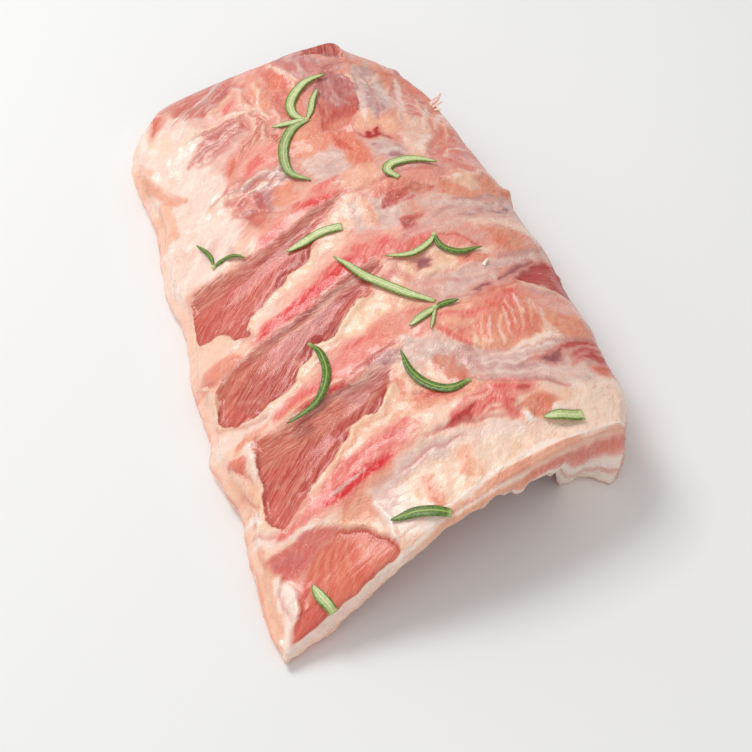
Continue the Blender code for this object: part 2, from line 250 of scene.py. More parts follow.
def turned(x, y, degrees):
    """Plan coordinates along and across a direction that is turned from +X."""
    c, s = math.cos(math.radians(degrees)), math.sin(math.radians(degrees))
    return x * c + y * s, y * c - x * s


# ---------------------------------------------------------------------------------------------------------
# Shapes on the plan.

def line_distance(x, y, points, closed=False):
    """Distance to a line of straight runs, the side that each place lies on, and the share along it."""
    ring = list(points) + ([points[0]] if closed else [])
    best = np.full(x.shape, 1e9)
    side, share = np.zeros(x.shape), np.zeros(x.shape)
    runs = len(ring) - 1
    for i, ((ax, ay), (bx, by)) in enumerate(zip(ring, ring[1:])):
        dx, dy = bx - ax, by - ay
        t = np.clip(((x - ax) * dx + (y - ay) * dy) / (dx * dx + dy * dy), 0, 1)
        away = np.hypot(x - ax - t * dx, y - ay - t * dy)
        closer = away < best
        best = np.where(closer, away, best)
        side = np.where(closer, np.sign((x - ax) * dy - (y - ay) * dx), side)
        share = np.where(closer, (i + t) / runs, share)
    return best, side, share


def inside(x, y, points):
    """Whether each place lies within a closed outline."""
    found = np.zeros(x.shape, bool)
    ring = list(points) + [points[0]]
    for (ax, ay), (bx, by) in zip(ring, ring[1:]):
        if ay == by:
            continue
        crosses = (ay > y) != (by > y)
        found ^= crosses & (x < (bx - ax) * (y - ay) / (by - ay) + ax)
    return found


def patch_depth(x, y, points):
    """How far inside a closed outline each place lies, negative outside it."""
    away = line_distance(x, y, points, closed=True)[0]
    return np.where(inside(x, y, points), away, -away)


def trail_depth(x, y, points, half_width):
    """How far inside a stroke each place lies: it is widest in its middle and pointed at its ends."""
    away, _, share = line_distance(x, y, points)
    return half_width * np.sqrt(np.clip(1 - (2 * share - 1) ** 2, 0.04, 1)) - away


# ---------------------------------------------------------------------------------------------------------
# Tissues, by name, as they look in plain light.

TONES = {
    "cream fat": (250, 203, 178),
    "white fat": (248, 216, 200),
    "bright fat": (255, 236, 222),
    "butter fat": (255, 221, 200),
    "yellow fat": (248, 206, 170),
    "warm fat": (244, 183, 151),
    "orange fat": (236, 156, 123),
    "blush": (238, 156, 140),
    "rose fat": (228, 153, 136),
    "pink rib": (240, 140, 130),
    "raw pink": (232, 96, 92),
    "salmon": (228, 128, 106),
    "orange lean": (228, 112, 84),
    "bright blood": (224, 18, 29),
    "old blood": (166, 34, 35),
    "grey veil": (212, 166, 154),
    "rose veil": (222, 168, 152),
    "pale veil": (228, 193, 179),
    "cool veil": (200, 162, 155),
    "mauve veil": (188, 126, 126),
    "purple": (158, 86, 92),
    "bay lean": (214, 80, 64),
    "bay rose": (218, 92, 82),
    "bay pale": (222, 124, 106),
    "bay brown": (206, 122, 104),
    "bay tan": (214, 112, 84),
    "bay deep": (182, 42, 34),
    "plum lean": (212, 92, 84),
    "stripe lean": (202, 96, 88),
    "window lean": (176, 68, 54),
    "dark lean": (142, 40, 37),
    "firm lean": (200, 66, 58),
    "loin lean": (206, 78, 64),
    "clot": (176, 8, 18),
    "silverskin": (222, 168, 153),
    "bone": (240, 198, 179),
    "marrow": (170, 52, 42),
    "tan": (214, 143, 117),
}

# A second tissue that shows in strands through each one, and how strongly.
STRANDS = {
    "cream fat": ("bright fat", 0.45), "white fat": ("bright fat", 0.55), "bright fat": ("white fat", 0.5),
    "yellow fat": ("bright fat", 0.5), "warm fat": ("cream fat", 0.6), "orange fat": ("salmon", 0.6),
    "blush": ("cream fat", 0.6), "rose fat": ("pale veil", 0.5), "pink rib": ("raw pink", 0.7),
    "raw pink": ("pink rib", 0.6), "salmon": ("warm fat", 0.6), "orange lean": ("salmon", 0.6),
    "bright blood": ("raw pink", 0.25), "old blood": ("bay lean", 0.4), "grey veil": ("mauve veil", 0.6),
    "pale veil": ("cool veil", 0.6), "rose veil": ("pale veil", 0.6), "cool veil": ("pale veil", 0.7),
    "mauve veil": ("pale veil", 0.6), "purple": ("mauve veil", 0.6), "bay lean": ("bay brown", 0.6),
    "bay rose": ("bay lean", 0.6),
    "bay pale": ("bay lean", 0.6), "bay brown": ("bay lean", 0.7), "bay tan": ("bay pale", 0.6),
    "bay deep": ("bay lean", 0.6), "stripe lean": ("bay pale", 0.5), "tan": ("salmon", 0.5),
    "plum lean": ("mauve veil", 0.6),
}

# The ways that fibres run, in degrees from +X towards +Y, and the bands of the lean where they slant.
FIBRE_WAYS = ("slant", "steep", "length")
FIBRE_DEGREES = (8, 41, 80)
SLANT_BANDS = [
    [(-66, 8), (-62, 24), (-30, 26), (2, 34), (2, 26), (-14, 17), (-30, 13), (-48, 12)],
    [(-52, -24), (-46, -14), (-10, -3), (4, 0), (4, -12), (-8, -14), (-28, -19), (-44, -22)],
    [(-60, -62), (-58, -50), (-8, -44), (-4, -54), (-22, -57), (-40, -62)],
    [(-66, -106), (-62, -92), (-38, -91), (-40, -98), (-54, -106)],
]

# How strongly the fibres of each kind of lean show, where it is not 1.
FIBRE_STRENGTH = {
    "orange lean": 0.4, "plum lean": 0.6, "firm lean": 0.4, "loin lean": 0.5, "window lean": 0.5,
    "purple": 0.3, "clot": 0, "dark lean": 0.3, "stripe lean": 0.5,
}

# How far the edge of each kind of lean is torn into strands, where it is not 1.
TORN_EDGE = {
    "window lean": 0.2, "purple": 0.15, "dark lean": 0.2, "stripe lean": 0.5, "firm lean": 0.15, "clot": 0,
    "orange lean": 0.2, "loin lean": 0.35,
}

# Sunk lean with a clear edge: tone, how far it is sunk, which way its fibres run, and its outline.
BAYS = [
    ("bay lean", 1.3, "steep", [
        (-61, 16), (-59, 19), (-50, 19), (-44, 18.5), (-38, 20), (-30, 21.5), (-22, 24), (-12, 27),
        (-1, 30), (-2, 27.5), (-9, 23), (-15, 20), (-14.5, 14), (-16.5, 11.5), (-18, 8.5), (-22, 6.5),
        (-27, 5.5), (-30, 1.5), (-34, 0.5), (-36, -1), (-40, -3.5), (-43, -5), (-45, -7), (-45.5, -9.5),
        (-45, -13.5), (-48, -12.5), (-50, -9.5), (-51, -5.5), (-54, -3.5), (-58, -4), (-61, -2.5),
        (-63.5, 1.5), (-62, 6.5), (-61, 12)]),
    ("bay lean", 1.3, "steep", [
        (-61, -27.5), (-58, -24.5), (-55, -23), (-50, -20.5), (-46, -19), (-40, -17.5), (-32, -15.5),
        (-24, -12.5), (-15, -9.5), (-8, -7), (1, -4), (3, -8), (-2, -13), (-2, -16), (-7, -17.5),
        (-11, -19.5), (-14, -22), (-17, -25), (-20, -29), (-23, -29.5), (-27, -28), (-29, -32), (-33, -33.5),
        (-36, -37.5), (-37, -40), (-42, -42), (-47, -43.5), (-50, -44.5), (-54, -43.5), (-59, -43.5),
        (-62, -41), (-63.5, -37), (-62, -32.5)]),
    ("bay lean", 1.4, "steep", [
        (-56, -55.5), (-54, -54), (-46, -55), (-40, -53), (-34, -51.5), (-27, -50.5), (-20, -49.5),
        (-12, -48.5), (-7, -51), (-9, -54.5), (-11, -57.5), (-13, -61.5), (-16, -65), (-20, -64.5),
        (-24, -65), (-27, -68), (-31, -71.5), (-35, -75.5), (-40, -79), (-43, -80.5), (-47, -84),
        (-50, -87.5), (-55, -90), (-57, -86), (-58.5, -80), (-58, -75), (-56, -70), (-56.5, -64),
        (-56, -60)]),
    ("orange lean", 0.6, "steep", [
        (-61, -128), (-58, -120), (-56.5, -113), (-53, -107.5), (-50, -104), (-46, -101), (-42, -99.5),
        (-40, -97), (-36, -98), (-31, -100.5), (-28, -104), (-25.5, -107), (-24.5, -110), (-20, -122),
        (-40, -134), (-62, -134)]),
    ("purple", 0.5, "slant", [
        (12.5, -9.5), (14.5, -10.5), (14, -13.7), (16, -13), (18.5, -12.2), (20.3, -10), (18.5, -9),
        (15, -9)]),
    ("loin lean", 0.6, "length", [
        (3, 66), (4, 75), (5.5, 85), (7.5, 95), (10, 101), (14, 103), (18, 101.5), (21.5, 97),
        (23, 91), (22.3, 84), (20.5, 77), (17.5, 71), (13, 66.5), (8, 64)]),
    ("bay deep", 0.8, "length", [
        (10, 119.5), (12, 116), (16, 112), (20, 109), (23, 107), (24.5, 112), (25, 122), (16, 126),
        (8, 126)]),
    ("stripe lean", 0.5, "slant", [
        (12, 104), (16, 102.5), (19.5, 106), (24, 105.5), (21, 107.5), (16, 106.5)]),
    ("firm lean", 0.9, "slant", [
        (45.5, -26.8), (49, -23), (54, -19.2), (60, -16.6), (70, -14), (70, -31.5), (62.5, -31.5),
        (58.5, -30), (56.5, -27.5), (52, -26.5)]),
    ("purple", 0.5, "slant", [
        (29, -28.3), (31.5, -28.3), (34, -27.3), (37.5, -26.5), (36, -28.7), (31, -29.6)]),
    ("purple", 0.4, "slant", [
        (40, -63.3), (44, -62), (48, -60.5), (51, -60), (49, -63), (46, -64.8), (42, -64.5)]),
    ("firm lean", 0.5, "slant", [(55.5, -62.8), (61, -60), (72, -60), (72, -64.5), (63, -64.8)]),
    ("orange lean", 0.4, "slant", [(58, -67.5), (62, -65.5), (72, -64.5), (72, -70), (63, -70.5)]),
]

# The same tissue in narrow strips: tone, sunk, fibres, half width, centre line.
STRIPS = [
    ("stripe lean", 0.3, "slant", 1.4, [(-30, 107.5), (-25, 111), (-19.5, 116)]),
    ("stripe lean", 0.3, "slant", 1.1, [(-29, 111.5), (-25, 115), (-21, 120)]),
    ("orange lean", 0.4, "length", 1.7, [(-54, 106.5), (-51, 112), (-50, 118), (-52, 127)]),
    ("purple", 0.3, "slant", 0.9, [(39, -26), (45, -22.7), (50, -19.8), (56, -17)]),
    ("firm lean", 0.3, "slant", 1.1, [(50, -60), (56, -57), (68, -55)]),
    ("firm lean", 0.3, "slant", 0.8, [(53, -62.5), (58, -59.5), (68, -58)]),
    ("orange lean", 0.3, "steep", 1.3, [(-33.2, 63), (-31.5, 68), (-30, 73)]),
    ("bay lean", 0.4, "steep", 1.4, [(-14.6, 77.5), (-13, 73), (-12.6, 69)]),
    ("bay tan", 0.3, "steep", 1.0, [(-27, 71), (-25, 77), (-22, 80)]),
    ("bay tan", 0.3, "steep", 1.0, [(-24.5, 73.5), (-21.5, 79), (-19, 83)]),
    ("bay tan", 0.3, "steep", 0.9, [(-20.5, 76), (-17.5, 83), (-16, 90)]),
    ("clot", 0.3, "steep", 1.2, [(19.2, 57.0), (20.2, 61.0)]),
    ("clot", 0.3, "steep", 1.2, [(21.8, 57.0), (23.0, 61.6)]),
    ("clot", 0.3, "slant", 1.2, [(17.4, 58.0), (21, 57.3), (24.6, 57.3)]),
    ("window lean", 0.2, "slant", 0.6, [(14.2, 60.6), (16.5, 58.4), (19, 57.6)]),
    ("window lean", 0.2, "slant", 0.6, [(23.4, 57), (25, 54.5), (26.4, 51.5)]),
    ("dark lean", 0.5, "slant", 0.5, [(31.6, -14), (34.4, -12.2)]),
]

# Where fat stands over the lean beside it, with the lean on the left hand: lip, drop, reach, line. The lean
# beside each lip also gets painted shade.
STEPS = [
    (1.0, 1.7, 2.6, [
        (-46, -13.5), (-45.5, -9.5), (-43, -5), (-40, -3.5), (-36, -1), (-34, 0.5), (-30, 1.5), (-27, 5.5),
        (-22, 6.5), (-18, 8.5), (-16.5, 11.5), (-14.5, 14)]),
    (1.0, 1.7, 2.6, [
        (-58, -43.5), (-52, -44.5), (-47, -43.5), (-42, -42), (-37, -40), (-36, -37.5), (-33, -33.5),
        (-29, -32), (-27, -28), (-23, -29.5), (-20, -29), (-17, -25), (-14, -22), (-11, -19.5), (-7, -17.5),
        (-2, -15.5)]),
    (1.2, 2.0, 3.0, [
        (-50, -87.5), (-43, -80.5), (-40, -79), (-35, -75.5), (-31, -71.5), (-27, -68), (-24, -65),
        (-20, -64.5), (-16, -65), (-13, -61.5), (-11, -57.5), (-8, -54)]),
    (0.5, 0.5, 1.6, [
        (-61, 14), (-62, 6.5), (-63.5, 1.5), (-61, -2.5), (-54, -3.5), (-50, -9.5), (-48, -12.5)]),
    (0.6, 0.6, 1.8, [(-62, -31), (-63.5, -37), (-62, -41), (-59, -43.5), (-54, -43.5)]),
    (0.35, 0.5, 1.4, [
        (-19, -124), (-24.5, -110), (-25.5, -107), (-28, -104), (-31, -100.5), (-36, -98.2), (-41, -96.8)]),
    (0.4, 0.3, 1.6, [(-55.5, -55.5), (-56.3, -64), (-56, -70), (-58, -77), (-58, -84), (-55, -90)]),
    (0.6, 0.8, 2.0, [(24, 100), (23.5, 92), (22.5, 84), (20.5, 77), (17.5, 71)]),
    (0.6, 0.7, 1.8, [(-36, 99.5), (-29, 104), (-20, 110.5)]),
    (0.25, 0.5, 2.4, [(46, -27.5), (52, -26.5), (57, -29.5), (63, -31.5), (70, -31)]),
    (0.5, 0.6, 2.0, [(-47, 53), (-38, 55.5), (-30, 52.5), (-20, 55)]),
    (0.45, 0.4, 1.6, [(-12, 93.5), (-20, 92.5), (-30, 92.5), (-40, 91.5), (-47, 89.5)]),
    (0.7, 0.5, 1.6, [(-20, -49), (-28, -49.5), (-36, -51), (-45, -53.5)]),
    (0.5, 0.4, 1.4, [(26, -17.7), (22, -16), (18, -17.8), (13, -17)]),
]

# Tints laid over the fat, in order: tone, strength, softness, the way its edge is drawn out, closed outline.
WASHES = [
    ("white fat", 0.9, 9, 60, [
        (-70, 34), (-70, 112), (-52, 126), (-44, 112), (-18, 98), (-14, 92), (-30, 76), (-36, 56), (-36, 34),
        (-48, 20), (-64, 20)]),
    ("rose fat", 0.9, 10, 20, [
        (-14, 128), (-16, 60), (-8, 38), (4, 28), (6, -6), (10, -34), (30, -34), (74, -62), (74, 110),
        (20, 128)]),
    ("bay pale", 0.6, 5, 84, [
        (58, -32), (80, -40), (80, 20), (56, 104), (40, 112), (50, 96), (57, 60), (62, 20), (66, -10)]),
    ("rose fat", 0.6, 8, 20, [(-44, 128), (-40, 96), (-34, 60), (-36, 30), (-10, 26), (-10, 128)]),
    ("blush", 0.6, 6, 40, [(-46, 128), (-44, 114), (-34, 100), (-22, 96), (-10, 92), (4, 92), (10, 128)]),
    ("bay brown", 0.8, 4, 42, [
        (-48, 128), (-46, 114), (-40, 109), (-36, 101), (-31, 101), (-24, 106), (-18, 110), (-16, 128)]),
    ("bay brown", 0.45, 5, 18, [
        (-47, 79), (-42, 86), (-35, 91), (-27, 92.5), (-18, 91.5), (-18, 86), (-24, 83), (-30, 79),
        (-38, 77.5)]),
    ("salmon", 0.8, 6, 78, [
        (36, 104), (46, 104), (58, 70), (64, 30), (56, 34), (44, 34), (35, 36), (36, 50), (44, 56), (40, 66),
        (38, 84)]),
    ("orange lean", 0.3, 6, 78, [(44, 30), (40, 44), (46, 56), (56, 60), (64, 34), (62, 24), (52, 24)]),
    ("orange fat", 0.6, 5, 70, [(26, 97), (24, 108), (40, 110), (46, 98), (38, 96)]),
    ("cream fat", 0.7, 5, 60, [(28, 38), (34, 38), (38, 52), (44, 58), (42, 66), (34, 68), (30, 56)]),
    ("warm fat", 0.8, 5, 30, [(14, 66), (20, 76), (24, 68), (33, 66), (32, 56), (24, 55), (16, 60)]),
    ("salmon", 0.8, 4, 84, [(-10, 128), (-9, 112), (-9, 84), (0, 82), (4, 92), (6, 103), (2, 110), (0, 128)]),
    ("mauve veil", 0.8, 4, 84, [
        (-1, 128), (1, 104), (8, 100), (14, 102), (20, 100), (22, 106), (12, 112), (10, 128)]),
    ("orange lean", 0.55, 3, 60, [(-8, 112), (-8, 101), (0, 99), (1, 106), (-3, 112)]),
    ("stripe lean", 0.5, 3, 85, [(-9, 97), (-8, 84), (-5, 83), (-4, 96)]),
    ("orange fat", 0.7, 3, 84, [(-15, 92), (-9.5, 92), (-10, 118), (-14, 118)]),
    ("blush", 0.8, 6, 20, [(-36, 58), (-33, 72), (-24, 76), (-14, 74), (-10, 60), (-18, 56)]),
    ("pink rib", 0.35, 4, 40, [(-24, 58), (-20, 68), (-14, 70), (-14, 58)]),
    ("orange fat", 0.75, 5, 60, [(-9, 55), (-9, 72), (0, 82), (5, 78), (5, 62), (1, 55)]),
    ("salmon", 0.7, 4, 82, [(1, 62), (3, 84), (6, 88), (8, 70), (6, 62)]),
    ("pale veil", 0.8, 5, 10, [(-8, 56), (-7, 40), (2, 36), (8, 40), (8, 54), (4, 57)]),
    ("orange fat", 0.9, 3, 80, [
        (4.5, 65), (9, 64), (11.5, 58), (14, 53), (15.6, 48), (15.6, 42), (12, 38), (9, 41), (7.6, 48),
        (6.5, 55)]),
    ("orange lean", 0.5, 3.5, 80, [
        (4.5, 66), (10, 66), (13, 58), (15.5, 50), (15.5, 43), (12, 39), (9.5, 42), (8.5, 50), (6, 58)]),
    ("bay brown", 0.75, 5, 45, [
        (-38, 58), (-38, 44), (-33, 37), (-28, 29), (-24, 36), (-18, 46), (-16, 57), (-28, 60)]),
    ("mauve veil", 0.75, 4, 45, [
        (-35, 52), (-34, 43), (-29, 37), (-22, 37), (-21, 47), (-25, 54), (-30, 56)]),
    ("blush", 0.6, 3, 45, [(-34, 50), (-33, 44), (-28, 41), (-28, 47), (-31, 52)]),
    ("orange fat", 0.8, 3.5, 60, [(-21, 36), (-14, 37), (-13, 47), (-18, 49), (-22, 45)]),
    ("cool veil", 0.75, 3.5, 50, [(-26, 50), (-17, 48), (-12, 52), (-16, 57), (-24, 58)]),
    ("blush", 0.7, 6, 25, [(-37, 18), (-34, 28), (-22, 34), (-10, 40), (4, 38), (2, 29), (-12, 26)]),
    ("warm fat", 0.6, 5, 60, [(2, 28), (2, 40), (14, 42), (18, 36), (14, 28)]),
    ("salmon", 0.7, 3, 15, [(10, 24), (12, 28.5), (20, 29.5), (27, 28), (26, 25), (14, 24)]),
    ("blush", 0.6, 4, 15, [(24, 25), (26, 30), (36, 30), (36, 26)]),
    ("pale veil", 0.85, 5, 80, [(-1, 8), (0, 26), (10, 25), (16, 20), (22, 18), (15, 6), (6, 6)]),
    ("tan", 0.5, 4, 70, [(17, 10), (17, 19), (24, 20), (25, 11)]),
    ("warm fat", 0.95, 1.4, 86, [(4.4, 12), (9, 10.5), (8.6, 18), (8, 25.5), (4.6, 26.5), (3.8, 19)]),
    ("tan", 0.3, 1.4, 86, [(5.0, 13), (8.2, 12), (8.0, 18), (7.2, 24.5), (4.8, 25)]),
    ("rose veil", 0.85, 5, 18, [
        (24, 20), (35, 18.5), (46, 18), (64, 24), (64, 8), (50, 6), (40, 2), (30, -1), (22, 2)]),
    ("orange fat", 0.8, 4, 20, [(34, 18), (36, 24), (44, 25), (50, 19), (44, 16)]),
    ("orange fat", 0.9, 5, 60, [(50, 18), (50, 27), (64, 32), (64, 20)]),
    ("yellow fat", 0.7, 4, 20, [(40, 24), (42, 29.5), (50, 29), (50, 22)]),
    ("blush", 0.8, 6, 25, [
        (-42, -9), (-20, 4), (0, 12), (14, 8), (24, 3), (22, -5), (4, -6), (-10, -8), (-46, -18)]),
    ("pink rib", 0.8, 5, 25, [
        (-44, -16), (-26, -8), (-10, 1), (2, 6), (10, 5), (8, -5), (-8, -7), (-30, -14)]),
    ("raw pink", 0.6, 4, 25, [(-44, -18), (-30, -9), (-12, -1), (-2, 1), (0, -5), (-14, -9), (-30, -15)]),
    ("cream fat", 0.45, 4, 35, [
        (-46, -14), (-45, -6), (-34, 0), (-28, 3), (-16, 9), (-14, 14), (-4, 14), (-8, 4), (-28, -6)]),
    ("white fat", 0.5, 4, 35, [(-44, -12), (-42, -5), (-34, -2), (-34, -8)]),
    ("stripe lean", 1.0, 2.2, 15, [
        (11.5, 18.5), (12, 22), (15, 24.5), (20, 25.5), (26, 25), (32, 22.5), (30, 20.5), (25, 21),
        (23, 18.8),
        (18, 20), (14.5, 18.5)]),
    ("window lean", 0.8, 1.8, 15, [
        (11.5, 19), (12.5, 22.5), (16, 24), (20, 24), (19, 21.5), (16, 21), (14, 19)]),
    ("tan", 0.55, 2.5, 15, [(20, 25), (27, 25.5), (32, 22.8), (28, 21), (22, 22)]),
    ("tan", 0.6, 3, 60, [(22, 26), (30, 25.5), (29, 22), (24, 22.5)]),
    ("stripe lean", 0.95, 2.2, 40, [
        (15, 5), (14.5, 8.5), (17, 11.8), (20, 12.4), (24.5, 11.4), (21.5, 8.8), (20.5, 5.2), (17.5, 4.6)]),
    ("window lean", 0.5, 3.0, 40, [(14.6, 5), (15, 8.5), (18, 11.5), (21, 11), (19.5, 6.5)]),
    ("stripe lean", 0.75, 1.6, 15, [(2, -12), (4, -10.5), (7, -11), (6.5, -13.3), (4, -15), (2.3, -13.7)]),
    ("raw pink", 0.6, 2, 40, [(-4, 4), (-2, 6), (1, 5), (1.5, 2), (-1, 1), (-3.5, 2)]),
    ("mauve veil", 0.35, 4, 10, [(13, 0), (14, 6), (24, 6), (24, 1)]),
    ("pink rib", 0.5, 4, -30, [(25, 0), (33, -4), (38, -9), (28, -9), (25, -5)]),
    ("yellow fat", 0.75, 5, 20, [(8, -9), (12, -18), (26, -17), (42, -18), (44, -10), (30, -9), (20, -7)]),
    ("cream fat", 0.8, 5, 15, [(38, 4), (66, 8), (66, -2), (50, 0), (40, -1)]),
    ("orange fat", 0.8, 5, 60, [(42, -2), (56, -2), (56, -13), (46, -12)]),
    ("orange lean", 0.65, 3.5, 30, [(28, -12), (38, -12), (42, -15), (34, -18.5), (28, -16)]),
    ("rose veil", 0.75, 4, 12, [
        (9, -16), (16, -18), (26, -18), (38, -17), (45, -14), (66, -8), (68, -16), (54, -18), (46, -23),
        (40, -27), (28, -30), (17, -31), (10, -24)]),
    ("mauve veil", 0.3, 4, -40, [(10, -21), (16, -22), (20, -29), (14, -30)]),
    ("pale veil", 0.5, 5, 12, [(18, -23), (28, -21), (44, -24), (40, -29), (30, -33), (18, -32)]),
    ("warm fat", 0.6, 6, 20, [(-4, -16), (8, -16), (14, -32), (2, -34), (-20, -30), (-14, -22)]),
    ("yellow fat", 0.85, 4, 30, [
        (-30, -31), (-24, -29.5), (-17, -25), (-7, -17.5), (1, -18), (-2, -27), (-20, -35), (-36, -39)]),
    ("blush", 0.9, 7, 28, [
        (-38, -42), (-22, -34), (0, -27), (16, -30), (20, -38), (8, -43), (-8, -44), (-24, -50),
        (-42, -50)]),
    ("pink rib", 0.65, 5, 28, [(-36, -46), (-20, -38), (-4, -32), (-4, -42), (-24, -48)]),
    ("orange fat", 0.35, 5, 20, [(-14, -33), (-2, -30), (0, -40), (-12, -40)]),
    ("orange fat", 0.85, 7, 76, [
        (14, -34), (30, -33), (36, -30), (46, -30), (50, -37), (50, -44), (45, -54), (36, -56), (26, -57),
        (21, -51), (15, -46), (11, -40)]),
    ("cream fat", 0.35, 6, 20, [(14, -36), (30, -34), (46, -32), (46, -42), (30, -40), (16, -40)]),
    ("warm fat", 0.45, 6, 76, [(16, -40), (24, -42), (30, -50), (44, -52), (36, -57), (24, -56), (14, -46)]),
    ("salmon", 0.5, 5, 60, [(24, -36), (34, -33), (46, -32), (48, -40), (44, -50), (34, -54), (28, -48)]),
    ("raw pink", 0.42, 4, 76, [(30, -34), (38, -30.5), (45, -31), (43, -38), (37, -42), (31, -39)]),
    ("raw pink", 0.4, 2.5, 20, [(15, -41), (22, -44), (30, -44), (28, -50), (20, -48)]),
    ("orange lean", 0.45, 3, 82, [(34, -38), (39, -38), (40, -46), (36, -50), (34, -46)]),
    ("salmon", 0.75, 4, 30, [(34, -46), (46, -44), (46, -53), (36, -54)]),
    ("tan", 0.5, 4, 10, [(24, -52), (36, -53), (34, -57), (25, -57)]),
    ("pink rib", 0.6, 3, -15, [(13, -34), (22, -37), (31, -39), (30, -42), (14, -39)]),
    ("orange fat", 0.85, 4, 10, [(48, -43), (66, -43), (66, -54), (52, -55), (49, -50)]),
    ("blush", 0.6, 5, 15, [(48, -32), (66, -33), (66, -43), (48, -42)]),
    ("mauve veil", 0.45, 3, 12, [(48, -29), (56, -31), (66, -34), (66, -36), (50, -32)]),
    ("pale veil", 0.95, 5, -20, [(0, -43), (10, -44), (16, -48), (20, -53), (14, -56), (4, -54), (-3, -50)]),
    ("grey veil", 0.9, 5, -8, [
        (12, -52), (20, -51), (26, -56), (36, -58), (46, -55), (54, -54), (68, -57), (68, -66), (50, -67),
        (30, -70), (20, -68), (15, -63)]),
    ("pale veil", 0.75, 6, -8, [(22, -67), (40, -66), (56, -64), (60, -72), (48, -77), (36, -74)]),
    ("tan", 0.9, 3, 60, [(5, -56), (9, -52.5), (14, -54), (16, -60), (16.5, -65), (12, -67), (8, -62)]),
    ("orange lean", 0.35, 3, 40, [(9, -60), (16, -61), (16, -66), (11, -67)]),
    ("warm fat", 0.9, 5, 60, [
        (-10, -53), (-4, -52), (2, -60), (4, -68), (-6, -72), (-20, -70), (-26, -68), (-14, -64)]),
    ("orange fat", 0.6, 4, -10, [(-4, -63), (6, -64), (18, -68), (10, -72), (-6, -70)]),
    ("blush", 0.9, 5, 20, [
        (-42, -90), (-40, -82), (-30, -76), (-12, -71), (-4, -73), (-6, -80), (-18, -84), (-30, -90)]),
    ("blush", 0.95, 4, 15, [
        (3, -80), (6, -74), (12, -70.5), (20, -68.5), (30, -70), (36, -72), (34, -76), (28, -78), (29, -83),
        (24, -84.5), (21, -80), (14, -80)]),
    ("orange fat", 0.85, 4, -20, [(28, -79), (34, -76), (40, -79), (44, -83), (38, -85.5), (30, -84)]),
    ("orange fat", 0.75, 4, 72, [
        (-38, -97), (-36, -91), (-28, -86), (-18, -82), (-17, -88), (-22, -95), (-30, -100)]),
    ("white fat", 0.95, 5, 20, [
        (-26, -90), (-12, -84), (4, -82), (22, -82), (30, -88), (16, -96), (-2, -100), (-6, -112),
        (-22, -113), (-24, -102)]),
    ("cool veil", 0.4, 4, 20, [
        (-26, -94), (-22, -86), (-8, -82), (4, -83), (2, -88), (-12, -90), (-18, -94), (-24, -104)]),
    ("cool veil", 0.25, 4, 20, [(8, -88), (22, -88), (20, -95), (10, -95)]),
    ("yellow fat", 0.6, 6, 10, [(-16, -90), (10, -86), (30, -90), (20, -100), (-4, -108), (-14, -104)]),
    ("warm fat", 1.0, 4, 84, [(-10, -91), (-6, -92), (-4, -100), (-5, -108), (-9, -107), (-10.5, -98)]),
    ("orange fat", 0.75, 3, 84, [(-9.5, -92), (-7.5, -93), (-6, -100), (-6.5, -105), (-9, -100)]),
    ("warm fat", 0.95, 4, 84, [(1, -86), (8, -88), (8, -99), (2, -99)]),
    ("orange fat", 0.5, 3, 84, [(2.5, -88), (6, -89), (6, -97), (3, -97)]),
    ("cream fat", 0.9, 6, 10, [(32, -86), (44, -88), (46, -74), (66, -74), (74, -92), (36, -99)]),
    ("yellow fat", 0.6, 6, 10, [(44, -78), (70, -74), (74, -90), (46, -92)]),
    ("butter fat", 0.9, 6, 10, [(28, -87), (44, -82), (54, -74), (72, -72), (76, -92), (40, -97)]),
    ("butter fat", 0.6, 5, 10, [(22, -90), (46, -84), (66, -82), (66, -90), (46, -92), (26, -98)]),
    ("orange fat", 0.55, 3, 12, [
        (-6, -106), (10, -103), (40, -96), (66, -91), (66, -100), (20, -112), (-6, -112)]),
    ("warm fat", 0.9, 3, 84, [(-70, 48), (-57, 48), (-56, 60), (-55, 68), (-59, 72), (-63, 70), (-68, 60)]),
    ("warm fat", 0.85, 3, 84, [(-68, 100), (-62, 96), (-59, 86), (-61, 81), (-68, 84)]),
    ("yellow fat", 0.5, 4, 84, [(-60, 112), (-52, 108), (-48, 96), (-52, 90), (-60, 98)]),
    ("orange lean", 0.6, 3.5, 15, [
        (-70, -16.5), (-60, -15.5), (-52, -16), (-50, -19.5), (-56, -22.5), (-62, -24.5), (-70, -23)]),
    ("white fat", 0.9, 5, 20, [(-70, -42), (-58, -45), (-44, -45), (-40, -48), (-50, -51), (-70, -51)]),
    ("orange fat", 0.7, 3, 35, [(-62, -54), (-58, -49.5), (-47, -49.5), (-52, -53.5)]),
    ("orange lean", 0.75, 2.2, 20, [
        (-67, -55.5), (-62, -55.5), (-58, -57), (-58, -60.5), (-61, -62.5), (-64, -60.5)]),
    ("white fat", 0.7, 3, 84, [(-60, -54), (-56, -54), (-55, -68), (-58, -68)]),
    ("warm fat", 0.8, 3, 70, [(-68, -60), (-62, -63), (-58, -66), (-58, -80), (-64, -78), (-68, -72)]),
    ("orange fat", 0.7, 2.5, 84, [(-66, -87), (-62, -88), (-62, -98), (-65.5, -97)]),
    ("white fat", 0.8, 4, 10, [(-62, -82), (-56, -90), (-44, -90), (-42, -93), (-60, -94), (-66, -88)]),
    ("plum lean", 0.85, 4, 12, [
        (-61, -97), (-56, -94.5), (-50, -93.5), (-44, -93), (-40, -95), (-40, -98.5), (-44, -101.5),
        (-50, -104), (-54, -106), (-59, -104), (-62, -100)]),
    ("raw pink", 0.35, 2.5, 12, [(-62, -101), (-50, -98), (-44, -101), (-54, -106)]),
    ("pink rib", 0.5, 2.5, 8, [(-57, -91), (-44, -88), (-42, -90), (-56, -93)]),
    ("warm fat", 0.8, 3, 86, [(-69, -98), (-61, -98), (-61, -126), (-67, -126)]),
    ("bright fat", 0.85, 3, 80, [
